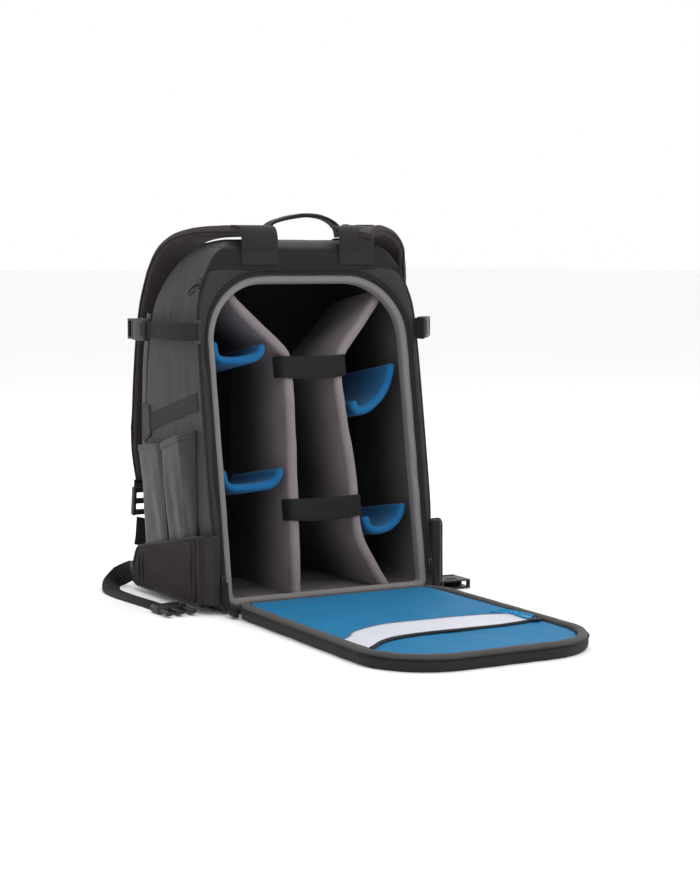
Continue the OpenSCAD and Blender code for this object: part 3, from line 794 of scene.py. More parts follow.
def boardPart(line, thick, front, back, count=70, waves=0.6, seed=1, ends=0.35):
    # a padded board on edge: its line is drawn on the face, its depth runs into the bag
    path = smoothLine(line, count)
    n = len(path)
    ahead = headings(path)
    across = np.column_stack([-ahead[:, 1], ahead[:, 0]])
    depth = deepestV(path[:, 1]) if back is None else np.full(n, float(back))
    half = thick / 2
    fronts = [(half * math.cos(math.radians(a)), -half * math.sin(math.radians(a)))
              for a in range(15, 166, 15)]
    rows = []
    taper = np.minimum(np.minimum(np.arange(n), n - 1 - np.arange(n)) / (n * 0.035), 1)
    taper = ends + (1 - ends) * np.sin(taper * math.pi / 2)
    for k in range(n):
        near, far = front + half, depth[k] - (half if back is not None else 0)
        row = [(half, far + (near - far) * t) for t in np.linspace(0, 1, 12)]
        row += [(d, near + v) for d, v in fronts]
        row += [(-half, near + (far - near) * t) for t in np.linspace(0, 1, 12)]
        if back is not None:
            row += [(-d, far - v) for d, v in fronts]
        row = np.array(row) * (taper[k], 1)
        rows.append([(path[k, 0] + d * across[k, 0], path[k, 1] + d * across[k, 1], v) for d, v in row])
    rows = np.array(rows)
    puff = ripple(rows * (1, 1, 0.6), 70, seed) + 0.45 * ripple(rows, 24, seed + 5)
    outward = rows - np.concatenate([path, np.zeros((n, 1))], 1)[:, None] * (1, 1, 0)
    outward[..., 2] = 0
    rows[..., :2] += (unitRows(outward) * (puff * waves)[..., None])[..., :2]
    world = facePoints(rows)
    world[..., 2] = np.maximum(world[..., 2], 10.2)
    return gridPart(world)


dividers = {
    "thick": 12, "front": 15.5,
    "left": [(-98, 371), (-92, 364), (-82, 350), (-55, 323), (-28, 297), (-23, 284), (-22.5, 262), (-24, 205),
             (-27, 150), (-30, 80), (-34, 6)],
    "right": [(107, 366), (101, 354), (76, 324), (52, 297), (44, 280), (42, 258), (46, 205), (51, 150),
              (51, 112), (54, 74), (70, 40), (88, 8)],
}
for key, seed in (("left", 21), ("right", 27)):
    makePiece(f"{key}Divider", [boardPart(dividers[key], dividers["thick"], dividers["front"], None, 110,
                                          0.55, seed)],
              "divider", "bag", ["divider_" + key])
    seam = smoothLine(dividers[key], 110)
    ahead = headings(seam)
    edgeLines = []
    for turn in (-1, 1):
        edge = seam + turn * 5.6 * np.column_stack([-ahead[:, 1], ahead[:, 0]])
        edgeLines.append(tubePart(facePoints(np.column_stack([edge, np.full(110, 24.0)]))[6:-6], 0.9, 5))
    makePiece(f"{key}DividerSeams", edgeLines, "lining", "bag")

shelves = {
    "thick": 9.5, "front": 15, "back": 145,
    "shelf_upper_left": [(-115, 307), (-114.6, 300), (-113, 292), (-107, 287), (-92, 285.5), (-76, 286.5),
                         (-64, 289), (-57, 294), (-54, 303)],
    "shelf_lower_left": [(-115, 162), (-114.6, 156), (-113, 148), (-107, 142), (-92, 140.5), (-72, 141),
                         (-56, 143), (-47, 149), (-42, 160)],
    "shelf_upper_right": [(60, 234), (60.5, 228), (65, 223), (74, 223.5), (86, 230), (97, 239), (106, 252),
                          (111, 263), (115, 276)],
    "shelf_lower_right": [(64, 98), (64.5, 91), (69, 84), (79, 81), (90, 83), (99, 87), (107, 93),
                          (112, 101), (115, 110)],
}
for number, key in enumerate(("shelf_upper_left", "shelf_lower_left", "shelf_upper_right",
                              "shelf_lower_right")):
    shelfPiece = makePiece(key.replace("_", "") + "Pad",
                           [boardPart(shelves[key], shelves["thick"], shelves["front"], shelves["back"], 60,
                                      0.5,
                                      31 + number, 0.55)], "bluePad", f"shelf_{number + 1}", [key])

elastics = {
    "wide": 24.5, "thick": 1.3,
    "elastic_upper": {"s": 277.5, "line": [(-36, 30), (-33.5, 18), (-29, 14.2), (-20, 13.4), (10, 13.6),
                                           (40, 13.4),
                                           (48, 14.2), (52.5, 18), (55, 30)], "sag": 3.0},
    "elastic_lower": {"s": 112.5, "line": [(-38, 30), (-36, 18), (-32, 14.2), (-22, 13.4), (12, 13.6),
                                           (46, 13.4),
                                           (54, 14.2), (58.5, 18), (61, 30)], "sag": 2.4},
}
for key in ("elastic_upper", "elastic_lower"):
    look = elastics[key]
    line = smoothLine(look["line"], 70)
    sag = look["sag"] * np.maximum(0, 1 - ((line[:, 0] - 9) / 46) ** 2)
    rows = []
    for d, lift in ((0.5, 0), (0.44, 1), (0.2, 1), (-0.2, 1), (-0.44, 1), (-0.5, 0), (-0.44, -1),
                    (-0.2, -1), (0.2, -1), (0.44, -1)):
        s = look["s"] + d * elastics["wide"] - sag * (0.6 + 0.8 * (0.5 - d))
        rows.append(np.column_stack([line[:, 0], s, line[:, 1] - lift * elastics["thick"] / 2]))
    makePiece(key.replace("_", "") + "Band", [gridPart(facePoints(np.array(rows).transpose(1, 0, 2)))],
              "elastic",
              "bag", [key])
print("inside built")

# the flap

flap = {"start": 18, "wide": 10, "far": (53, 304, 76.5), "base": -6.4}


def flapOutline(out=0.0, count=280):
    cx, cs, radius = flap["far"]
    right = [(108, flap["start"] - out), (115 + out, flap["start"] + 3), (122 + out, flap["start"] + 12),
             (129 + out, flap["start"] + 28), (129.5 + out, 120), (129.5 + out, 220)]
    right += [(cx + (radius + out) * math.cos(math.radians(a)),
               cs + (radius + out) * math.sin(math.radians(a)))
              for a in range(0, 91, 5)]
    line = right + [(-x, s) for x, s in reversed(right)]
    return evenly(line, count, closed=True)


edgeLine = flapOutline()


def drawnIn(loop, share, v):  # a flat loop shrunk towards the flap's middle
    return np.column_stack([loop[:, 0] * share, 200 + (loop[:, 1] - 200) * share,
                            np.full(len(loop), float(v))])


ring = ringAround(edgeLine, [(-0.2, -6.9), (-0.9, -8.2), (-1.3, -10.5), (-1.2, -13.5), (-0.4, -16.2),
                             (1.6, -17.9), (4, -18.35)], lambda p: p)
ring[:, 1:6] += (unitRows(ring[:, 1:6] * (1, 1, 0) - (0, 190, 0)) * 0.5
                 * ripple(ring[:, 1:6], 34, 41)[..., None]) * (1, 1, 0)
columns = [drawnIn(ring[:, 0], f, -6.9) for f in (0.1, 0.4, 0.7, 0.93)]
columns += [ring[:, k] for k in range(ring.shape[1])]
columns += [drawnIn(ring[:, -1], f, -18.35) for f in (0.96, 0.9, 0.7, 0.4, 0.1)]
makePiece("flapPad", [gridPart(flapPoints(np.array(columns)))], "padded", "flap", ["flap_pad"])

rimShape = [(0.2, -6.6), (-0.3, -4.6), (0, -2.9), (1.4, -1.6), (3.6, -0.9), (6.2, -1.0), (8.4, -1.7),
            (9.7, -3.1), (10, -4.6), (9.8, -6.6)]
rimRows = ringAround(edgeLine, rimShape, lambda p: p, 0.3, 43)
nearHinge = np.clip((60 - rimRows[..., 1]) / 42, 0, 1)
rimRows[..., 2] -= (nearHinge * (rimRows[..., 2] + 6.4) * 0.45)
makePiece("flapBinding", [gridPart(flapPoints(rimRows), loop=True)], "flapEdge", "flap", ["flap_rim"])
rimStitch = ringAround(flapOutline(count=520), [(1.9, -1.3)], lambda p: p)[:, 0]
rimStitch[:, 2] -= np.clip((60 - rimStitch[:, 1]) / 42, 0, 1) * (rimStitch[:, 2] + 6.4) * 0.45
makePiece("flapBindingStitches", stitchParts(flapPoints(rimStitch), (0, 0, 1), 3.2, 0.45), "thread", "flap")
tapeEdge = flapOutline(0.9, 520)
tapeEdge = tapeEdge[tapeEdge[:, 1] > 30]
order = np.argsort(np.unwrap(np.arctan2(tapeEdge[:, 0], tapeEdge[:, 1] - 190)))
tapeEdge = tapeEdge[order]
makePiece("flapZipEdge", zipCoil(tapeEdge, flapPoints, -5.6, 620), "coil", "flap")


def flapSheet(low, high, lift, wave, seed, finish, name, instead=(), across=90, along=60, thick=1.2):
    # cloth on the flap between two lines (x, s), held inside the binding
    inner = flapOutline(-flap["wide"] - 0.4, 500)
    xs = np.linspace(-119, 119, across)
    side = inner[:, 0]
    bottoms, tops = [], []
    for x in xs:
        near = inner[np.abs(side - x) < 2.2][:, 1]
        bottoms.append(near[near < 190].max() if (near < 190).any() else 30)
        tops.append(near[near > 190].min() if (near > 190).any() else 350)
    lows = np.maximum(low(xs), bottoms)
    highs = np.minimum(high(xs), tops)
    rows = []
    for t in np.linspace(0, 1, along):
        s = lows + (highs - lows) * t
        flat = np.column_stack([xs, s, np.full(len(xs), flap["base"] + lift)])
        fade = np.minimum(np.minimum(t, 1 - t) * 8, 1) * np.minimum((119 - np.abs(xs)) / 14, 1)
        waves = ripple(flat * (1, 0.8, 0), 62, seed) + 0.35 * ripple(flat * (0.7, 1.4, 0), 21, seed + 2)
        flat[:, 2] += (waves * wave + wave) * fade
        rows.append(flat)
    return makePiece(name, [gridPart(flapPoints(np.array(rows)), ring=False)], finish, "flap", instead,
                     solid=thick)


zipLine = smoothLine([(-132, 320), (-108, 300), (-90, 284), (-65, 272), (-30, 268), (15, 269), (60, 270),
                      (100, 264), (132, 258)], 140)
nearLine = smoothLine([(-132, 268), (-108, 248), (-88, 226), (-45, 207), (0, 206), (50, 208), (90, 214),
                       (132, 225)], 140)


def zipAt(out):
    return lambda x: np.interp(x, zipLine[:, 0], zipLine[:, 1]) + out


def nearAt(out):
    return lambda x: np.interp(x, nearLine[:, 0], nearLine[:, 1]) + out


flapSheet(lambda x: x * 0, lambda x: x * 0 + 999, 0.6, 0.7, 51, "blueLining", "flapLining", ["flap_lining"])
flapSheet(lambda x: x * 0, nearAt(1.5), 2.1, 0.9, 53, "blueLining", "flapPocket", ["flap_pocket"])
flapSheet(nearAt(0), zipAt(0), 2.4, 0.35, 57, "white", "flapBand", ["flap_band"], along=24)
flapSheet(zipAt(-0.6), zipAt(5.6), 3.2, 0.3, 57, "tape", "flapZipTape", ["flap_zip_tape"], along=5, thick=0.8)
coilLine = zipLine[(np.abs(zipLine[:, 0]) < 117)] + (0, 2.6)
makePiece("flapZipCoil", zipCoil(coilLine, flapPoints, -1.9, 160), "coil", "flap")
for out in (1.6, 3.4):
    seam = nearLine[np.abs(nearLine[:, 0]) < 117] + (0, out)
    seam = flapPoints(np.column_stack([seam, np.full(len(seam), -2.3)]))
    makePiece(f"flapBandStitches{int(out)}", stitchParts(seam, (0, 0, 1), 3.0, 0.4), "thread", "flap")

hingeCloth = []
for y, z in ((-100.5, 13.4), (-104, 11.5), (-108, 10.6), (-111.5, 10.2), (-114.5, 10.4), (-117.5, 11.8),
             (-121, 13.0),
             (-126, 12.8)):
    hingeCloth.append([(x, y, z + 0.5 * math.sin(x / 9)) for x in np.linspace(-112, 112, 80)])
hingePiece = makePiece("hingeCloth", [gridPart(np.array(hingeCloth), ring=False)], "binding", None,
                       ["hinge_fold"],
                       solid=2.2)
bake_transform(hingePiece)
print("flap built")

# small helpers for sewn and moulded pieces

def roundedLoop(corners, radius, count):  # a flat outline with its corners rounded
    corners = np.array(corners, float)
    points = []
    for k in range(len(corners)):
        here, last, after = corners[k], corners[k - 1], corners[(k + 1) % len(corners)]
        reach = min(radius, 0.48 * np.linalg.norm(last - here), 0.48 * np.linalg.norm(after - here))
        a = here + (last - here) / np.linalg.norm(last - here) * reach
        b = here + (after - here) / np.linalg.norm(after - here) * reach
        for t in np.linspace(0, 1, 8):
            points.append((1 - t) ** 2 * a + 2 * t * (1 - t) * here + t * t * b)
    return evenly(points, count, closed=True)


def pillowPart(loop, low, high, roll, place, dome=0.0, seed=1, wave=0.0):
    # a padded slab of a flat outline between two heights, with rolled edges
    middle = loop.mean(0)
    reach = np.linalg.norm(loop - middle, axis=1, keepdims=True)
    half = (high - low) / 2
    rows = []
    for share in (0.12, 0.45, 0.75):
        rows.append((share, low - dome * (1 - share ** 2), None))
    for a in range(-90, 91, 22):
        angle = math.radians(a)
        rows.append((None, (low + high) / 2 + half * math.sin(angle), roll * (1 - math.cos(angle))))
    for share in (0.75, 0.45, 0.12):
        rows.append((share, high + dome * (1 - share ** 2), None))
    built = []
    for share, height, inset in rows:
        flat = middle + (loop - middle) * (share if inset is None else 1 - inset / reach)
        built.append(np.column_stack([flat, np.full(len(flat), height)]))
    built = np.array(built)
    if wave:
        built[..., 2] += wave * ripple(built, 38, seed)
    return gridPart(place(built))


def onSide(side, x=0.0):  # (y, z, out) to the bag's frame, on either side
    return lambda p: np.stack([side * (p[..., 2] + x), p[..., 0], p[..., 1]], -1)


def turned(at, degrees=0.0, tilt=0.0):  # a local frame turned about Z, then tilted about X, and moved
    a, b = math.radians(degrees), math.radians(tilt)
    spin = np.array([[math.cos(a), -math.sin(a), 0], [math.sin(a), math.cos(a), 0], [0, 0, 1]])
    lift = np.array([[1, 0, 0], [0, math.cos(b), -math.sin(b)], [0, math.sin(b), math.cos(b)]])
    return lambda p: np.array(p, float) @ (spin @ lift).T + np.array(at, float)


def sliderParts(place, long=14.0, wide=6.4, high=4.2):  # a zip slider lying along its second axis
    half = wide / 2
    parts = [blockPart((-half, 0, 0.9), (half, long, high - 0.2), 1.3, place)]
    parts += [blockPart((-half * 0.72, -1.2, 1.3), (half * 0.72, 2, high - 0.7), 0.9, place)]
    arch = [(0, long * 0.25, 1.0), (0, long * 0.3, -0.9), (0, long * 0.5, -1.5), (0, long * 0.7, -0.9),
            (0, long * 0.75, 1.0)]
    parts.append(tubePart(place(smoothLine(arch, 14)), 1.5, 8))
    return parts


# zip sliders and their pulls

sliderLook = {"x": 133.8, "s": 30, "v": -6,
              "pull": [(-8.5, 36), (-8.6, 29), (-8.7, 22), (-9.2, 15), (-10.8, 9), (-14, 4.8), (-18, 2.2),
                       (-24, 0.4), (-30, -0.4)]}
for name, side in sides.items():
    x = side * sliderLook["x"]

    def onFace(p, x=x):
        return facePoints(np.array(p, float) + (x, sliderLook["s"], sliderLook["v"]))

    makePiece("mainSlider_" + name, sliderParts(onFace), "slider", "zip_slider_" + name,
              ["main_slider_" + name])
    line = smoothLine([(x, s, v) for v, s in sliderLook["pull"]], 40)
    loops = [tubePart(facePoints(line[:30] + (d, 0, 0)), 2.3, 8) for d in (-1.5, 1.5)]
    makePiece("mainPull_" + name, loops, "blackCord", "zip_pull_" + name, ["main_pull_" + name])
    grip = slabPart(facePoints(line[26:]), (1, 0, 0), 6.6, 4.2, 1.6)
    makePiece("mainPullGrip_" + name, [grip], "plastic", "zip_pull_" + name)


def onFlapSlider(p):
    p = np.array(p, float)
    return flapPoints(np.stack([106 - 6 + p[..., 1] * 0.86, 268 + p[..., 0], 0.4 - p[..., 2]], -1))


makePiece("flapSlider", sliderParts(onFlapSlider, 14, 6.8, 3.6), "slider", "flap_slider", ["flap_zip_slider"])
print("sliders built")

# shoulder harness

strap = {
    "wide": 58, "thick": 10.6,
    "left": [(-60, -44, 424.5), (-65, -24, 425), (-76, 4, 425), (-91, 32, 423), (-103, 62, 414),
             (-108, 92, 392),
             (-110, 118, 350), (-109, 136, 300), (-108, 146, 250), (-109, 150, 200), (-114, 148, 160),
             (-117, 140, 124)],
    "leftAcross": [(1, 0, 0), (1, 0, 0), (1, 0.3, 0), (1, 0.4, 0), (1, 0.4, 0), (1, 0.35, 0), (1, 0.3, 0),
                   (1, 0.25, 0), (1, 0.2, 0), (1, 0.2, 0), (1, 0.2, 0), (1, 0.2, 0)],
    "right": [(66, -44, 424.5), (76, -36, 426), (94, -26, 426), (118, -14, 419), (138, 0, 402),
              (150, 16, 370),
              (157, 40, 326), (160, 66, 280), (160, 94, 234), (156, 118, 190), (147, 134, 156),
              (133, 140, 124)],
    "rightAcross": [(1, 0, 0), (1, 0.2, 0), (0.8, -0.5, 0), (0.5, -0.9, 0), (0, -1, 0), (0, -1, 0),
                    (0.1, -1, 0), (0.2, -1, 0), (0.3, -1, 0), (0.5, -1, 0), (0.8, -0.8, 0), (1, -0.2, 0)],
}
for name, side in sides.items():
    path = smoothLine(strap[name], 110)
    # the listed directions are spread by distance along the strap, as the points are
    placed = np.array(strap[name], float)
    travel = np.concatenate([[0], np.cumsum(np.linalg.norm(np.diff(placed, axis=0), axis=1))])
    at = np.linspace(0, travel[-1], 110)
    directions = np.array(strap[name + "Across"], float)
    across = np.stack([np.interp(at, travel, directions[:, k]) for k in range(3)], 1)
    share = np.linspace(0, 1, 110)
    ends = np.minimum(np.minimum(share, 1 - share) * 40, 1) ** 0.5
    width = np.interp(share, (0, 0.1, 0.3, 0.85, 1), (0.72, 0.8, 1, 1, 0.66))
    base = roundRect(strap["wide"], strap["thick"], 5.0, 4)
    section = np.stack([base * (w, 0.35 + 0.65 * e) for w, e in zip(width, ends)])
    rows = sweptRows(path, across, section)
    rows += 0.35 * ripple(rows, 40, 61)[..., None] * unitRows(rows - path[:, None])
    makePiece("shoulderPad_" + name, [gridPart(rows)], "harness", "shoulder_" + name,
              ["shoulder_strap_" + name])
    cover = []
    for w, e in zip(width, ends):
        flat = roundRect((strap["wide"] - 7) * w, 1.6, 0.7, 2)
        lift = (strap["thick"] / 2 + 0.3) * (0.35 + 0.65 * e)
        cover.append(np.column_stack([flat[:, 0], flat[:, 1] - lift]))
    cover = np.stack(cover)
    makePiece("shoulderCover_" + name, [gridPart(sweptRows(path, across, cover))], "strapTop",
              "shoulder_" + name)
    edging, seams = [], []
    for turn in (-1, 1):
        edge = sweptRows(path, across, np.stack([[(turn * strap["wide"] / 2 * w, 0)] for w in width]))[:, 0]
        edging.append(tubePart(edge, 3.0, 8))
        seam = sweptRows(path, across, np.stack([[(turn * (strap["wide"] / 2 - 6.5) * w,
                                                   -strap["thick"] / 2 - 1.3)]
                                                 for w in width]))[:, 0]
        seams += stitchParts(seam[3:-3], (seam - path)[3:-3], 4.0)
    makePiece("shoulderEdging_" + name, edging, "tape", "shoulder_" + name)
    makePiece("shoulderStitches_" + name, seams, "darkThread", "shoulder_" + name)
    midWeb = sweptRows(path, across, np.stack([np.column_stack([
        roundRect(20, 1.6, 0.7, 2)[:, 0], roundRect(20, 1.6, 0.7, 2)[:, 1] - strap["thick"] / 2 - 1.6])
        for _ in width]))
    makePiece("shoulderWebbing_" + name, [gridPart(midWeb[6:100])], "webbing", "shoulder_" + name)

    x = placed[0, 0]
    wrap = [facePoints((x, 392, -3.9)), facePoints((x, 400, -4.6)), facePoints((x, 407, -5.4)), (x, -51, 409),
            (x, -51, 417), (x, -48.5, 425), (x, -43, 430.2), (x + side * 1.5, -34, 431.6),
            (x + side * 3.5, -24, 431.9)]
    wrap = smoothLine(wrap, 44)
    anchor = makePiece("shoulderAnchor_" + name, [slabPart(wrap, (1, 0, 0), 46, 2.2)], "wrap", None)
    "shoulder_" + name
    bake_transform(anchor)
    bars = []
    for d in (-19, 19):
        bars += stitchParts(facePoints([(x + d, 393, -5.4), (x + d, 406, -6.6)]), (0, -1, 0.16), 3.2)
    for s in (393.5, 397):
        bars += stitchParts(facePoints([(x - 19, s, -5.5), (x + 19, s, -5.5)]), (0, -1, 0.16), 3.2)
    makePiece("anchorStitches_" + name, bars, "darkThread", "bag")

    place = turned((side * 128, 132, 84), 0, 8)
    lockParts = [blockPart((d - 2.2, -4, 0.5), (d + 2.2, 4, 35.5), 1.6, place) for d in (-14.8, 14.8)]
    lockParts += [blockPart((-15, -3.6, z), (15, 3.6, z + 6.4), 2.0, place) for z in (0.8, 14.8, 28.8)]
    lockParts += [blockPart((-11, 3.1, z), (11, 4.4, z + 1.2), 0.5, place) for z in (29.6, 31.7, 33.6)]
    makePiece("ladderLock_" + name, lockParts, "plastic", "shoulder_" + name, ["ladder_lock_" + name])
    tab = [(side * 127, 137.4, 126), (side * 127.5, 136.6, 121), (side * 128, 135.8, 117),
           (side * 128, 132, 112),
           (side * 128, 128, 116), (side * 127.5, 131, 122)]
    makePiece("ladderTab_" + name, [slabPart(smoothLine(tab, 20), (1, 0, 0), 24, 1.5)], "webbing",
              "shoulder_" + name)

    web = smoothLine(sideOf([(128, 127, 80), (130, 124, 72), (133, 119, 60), (137, 114, 48)], side), 24)
    lower = makePiece("lowerWebbing_" + name, [slabPart(web, (1, 0, 0), 24.6, 1.7)], "webbing", None,
                      ["lower_webbing_" + name])
    "shoulder_" + name
    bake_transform(lower)
    corners = roundedLoop([(94, 32), (121, 29), (119, 47), (104, 52), (90, 92), (82, 84)], 3, 60)
    makePiece("webAnchor_" + name, [pillowPart(corners, 0, 3.4, 1.4, onSide(side, 136.5))], "shell", "bag",
              ["strap_anchors"] if side < 0 else [])
    loop = np.array([(y, z) for y, z in corners])
    makePiece("webAnchorStitches_" + name,
              stitchParts(onSide(side, 136.5)(np.column_stack([loop.mean(0) + (loop - loop.mean(0)) * 0.86,
                                                              np.full(60, 3.5)])), (side, 0, 0), 3.4),
              "darkThread", "bag")

handle = {"wide": 20, "thick": 3,
          "path": [(-26, 10, 420), (-24.5, 10, 427), (-20, 10, 433), (-11, 10, 438), (10, 10, 443),
                   (32, 10, 445.5), (52, 10, 443), (66, 10, 436.5), (73, 10, 429), (75, 10, 420)]}
line = smoothLine(handle["path"], 80)
section = []
for t in np.linspace(0, 1, 80):
    grip = max(0.0, math.sin(math.pi * t)) ** 3
    section.append(roundRect(handle["wide"] - 6 * grip, handle["thick"] + 1.6 * grip, 1.4, 4))
makePiece("grabHandle", [gridPart(sweptRows(line, (0, 1, 0), np.array(section)))], "webbing", "handle",
          ["grab_handle"])
handleStitches = []
for y in (4.6, 15.4):
    handleStitches += stitchParts(line[22:58] * (1, 0, 1) + (0, y, 2.4), (0, 0, 1), 3.2, 0.45)
makePiece("handleStitches", handleStitches, "darkThread", "handle")
for x in (-26, 75):
    patch = roundedLoop([(x - 9, -1), (x + 9, -1), (x + 9, 24), (x - 9, 24)], 3, 40)

    def onTop(p):
        return np.stack([p[..., 0], p[..., 1], crownZ(p[..., 1]) + 0.9 + p[..., 2]], -1)

    makePiece(f"handleFoot{'Left' if x < 0 else 'Right'}", [pillowPart(patch, -1.2, 2.2, 1.0, onTop)],
              "yoke", "bag")
print("harness built")

# side pockets and compression straps

pocket = {"front": -58, "back": 92, "floor": 40, "split": 15, "thick": 1.8, "stand": 13.5}


# heights against distance off the side and distance back, for the trims sewn to each side
rearStrip = {"z": (96, 330), "off": ((96, 115, 286, 330), (140.6, 141.4, 141.4, 139.8)),
             "back": ((96, 200, 265, 330), (95, 97, 93, 82)), "wide": 13, "thick": 2.0}
sideSeam = {"z": (60, 372), "off": ((60, 115, 286, 335, 360, 372), (137.4, 141.8, 141.8, 139.8, 134, 129.6)),
            "back": ((60, 372), (-84, -38)), "diameter": 1.8}


def pocketTop(y):
    return np.interp(y, (-60, 15, 92), (203, 182, 173.5))


def pocketOut(y, t):  # how far the pocket stands off the side, t from its floor to its mouth
    rim = np.minimum((y - pocket["front"]) / 20, (pocket["back"] - y) / 16)
    rim = np.clip(rim, 0, 1) ** 0.55
    split = 1 - 0.16 * np.exp(-((y - pocket["split"]) / 5) ** 2)
    return 141.6 + (2.2 + pocket["stand"] * t ** 0.8) * rim * split


for name, side in sides.items():
    for panel, y0, y1 in (("Front", pocket["front"], pocket["split"]),
                          ("Rear", pocket["split"], pocket["back"])):
        ys = np.linspace(y0, y1, 46)
        rows = []
        for t in np.linspace(0, 1, 50):
            z = pocket["floor"] + (pocketTop(ys) - pocket["floor"]) * t
            out = pocketOut(ys, t)
            at = np.column_stack([out, ys, z])
            fold = ripple(at * (0, 1, 0.22), 34, 71) + 0.5 * ripple(at * (0, 1, 0.4), 17, 75)
            swell = fold * 0.95 * math.sin(math.pi * min(t * 1.1, 1)) * np.clip((out - 142) / 4, 0, 1)
            out = np.maximum(out + swell, 141.4)
            rows.append(np.column_stack([side * out, ys, z]))
        makePiece(f"sidePocket{panel}_{name}", [gridPart(np.array(rows), ring=False)], "pocket", "bag",
                  ["side_pocket_" + name] if panel == "Front" else [], solid=pocket["thick"])
    ys = np.linspace(pocket["front"] + 1, pocket["back"] - 1, 60)
    hem = np.column_stack([side * (pocketOut(ys, 1.0) + 0.6), ys, pocketTop(ys) - 3.2])
    makePiece("pocketHem_" + name, [slabPart(hem, (0, 0.12, 1), 7.5, 1.7)], "pocket", "bag")
    hemStitches = []
    for drop in (5.9, 0.9):
        line = np.column_stack([side * (pocketOut(ys, 1.0) + 1.6), ys, pocketTop(ys) - drop])
        hemStitches += stitchParts(line, (side, 0, 0), 3.2, 0.42)
    makePiece("pocketStitches_" + name, hemStitches, "thread", "bag")
    share = np.linspace(0, 0.97, 30)
    z = pocket["floor"] + (pocketTop(pocket["split"]) - pocket["floor"]) * share
    seam = np.column_stack([side * (np.array([pocketOut(np.array(15.0), t) for t in share]) + 0.5),
                            np.full(30, 15.0), z])
    seams = [tubePart(seam, 2.2, 6)]
    for y in (pocket["front"], pocket["back"]):
        seams.append(tubePart([(side * 141.8, y, z) for z in np.linspace(40, pocketTop(y), 20)], 2.4, 6))
    seams.append(tubePart([(side * 141.6, y, 40) for y in np.linspace(pocket["front"], pocket["back"], 20)],
                          2.4, 6))
    makePiece("pocketSeams_" + name, seams, "tape", "bag")

    band = smoothLine([(-60, 235), (-20, 225), (30, 213), (94, 197.5)], 40)
    band = np.column_stack([np.full(40, side * 142.6), band])
    band[:, 0] += side * 0.8 * np.sin(np.linspace(0, math.pi, 40))
    makePiece("lowerStrap_" + name, [slabPart(band, (0, 0.24, 0.97), 21, 1.7)], "webbing", "bag",
              ["lower_straps"] if side < 0 else [])
    tabLine = roundedLoop([(72, 186), (97, 176), (99, 224), (76, 222)], 4, 60)
    makePiece("strapTab_" + name, [pillowPart(tabLine, 0.4, 3.4, 1.2, onSide(side, 141))], "shell", "bag")
    makePiece("strapTabStitches_" + name, stitchParts(onSide(side, 141)(np.column_stack([
        tabLine.mean(0) + (tabLine - tabLine.mean(0)) * 0.86, np.full(60, 3.5)])), (side, 0, 0), 3.4),
        "darkThread", "bag")
    z = np.linspace(*rearStrip["z"], 30)
    strip = np.column_stack([side * np.interp(z, *rearStrip["off"]), np.interp(z, *rearStrip["back"]), z])
    makePiece("rearStrip_" + name, [slabPart(strip, (0, 1, 0), rearStrip["wide"], rearStrip["thick"])],
              "pocket", "bag")
    z = np.linspace(*sideSeam["z"], 40)
    tape = np.column_stack([side * np.interp(z, *sideSeam["off"]), np.interp(z, *sideSeam["back"]), z])
    makePiece("sideSeam_" + name, [tubePart(tape, sideSeam["diameter"], 6)], "tape", "bag")

upper = {
    "wide": 20, "thick": 1.8, "z": 313,
    "front": [(-142.3, -66), (-147, -62), (-151, -54), (-155, -46), (-159, -33), (-162, -20), (-164, -5),
              (-165, 10), (-166, 27)],
    "rear": [(-160, 64), (-160.5, 75), (-160, 84), (-157, 94), (-150, 101), (-142.5, 103)],
    "stub": [(142.3, -72), (145, -67), (149, -61)],
    "return": [(172, -21), (168, -12), (156, -4), (148, 6), (144, 20), (142.6, 44), (142.4, 80),
               (142.4, 103)],
}
webParts = []
for key in ("front", "rear", "stub", "return"):
    line = smoothLine([(x, y, upper["z"]) for x, y in upper[key]], 40)
    webParts.append(slabPart(line, (0, 0, 1), upper["wide"], upper["thick"]))
makePiece("upperStraps", webParts, "webbing", "bag", ["upper_straps"])
fold = smoothLine([(-160, 58, 313), (-162.5, 53, 313), (-166, 50.6, 313), (-168.6, 54, 313), (-165, 62, 313),
                   (-161, 66, 313)], 24)
makePiece("strapLoop_left", [slabPart(fold, (0, 0, 1), 19, 1.6)], "webbing", "plug_left")
tabs = []
for x, y, a in ((-143.4, -64, -1), (143.4, -69, 1)):
    loop = roundedLoop([(y - 9, 300), (y + 9, 300), (y + 9, 326), (y - 9, 326)], 3, 40)
    tabs.append(pillowPart(loop, 0.2, 2.6, 1.0, onSide(a, 141.2)))
makePiece("upperTabs", tabs, "shell", "bag")
buckleAt = {"left": turned((-166, 28, 300)), "right": turned((150, -59, 300), -38)}


def buckleSocket(place):
    parts = [blockPart((-5, 0.2, 0.2), (5, 9, 25.8), 2.2, place)]
    parts += [blockPart((x, 7, 0.4), (x + 2, 31.6, 25.6), 0.9, place) for x in (-5, 3)]
    parts += [blockPart((-4.6, 8, z), (4.6, 18, z + 2.6), 1.0, place) for z in (0.4, 23)]
    parts += [blockPart((-4.6, 26, z), (4.6, 31.6, z + 2.6), 1.0, place) for z in (0.4, 23)]
    parts += [blockPart((-5.4, y, 5), (5.4, y + 1.1, 21), 0.5, place) for y in (2.2, 4.4, 6.6)]
    return parts


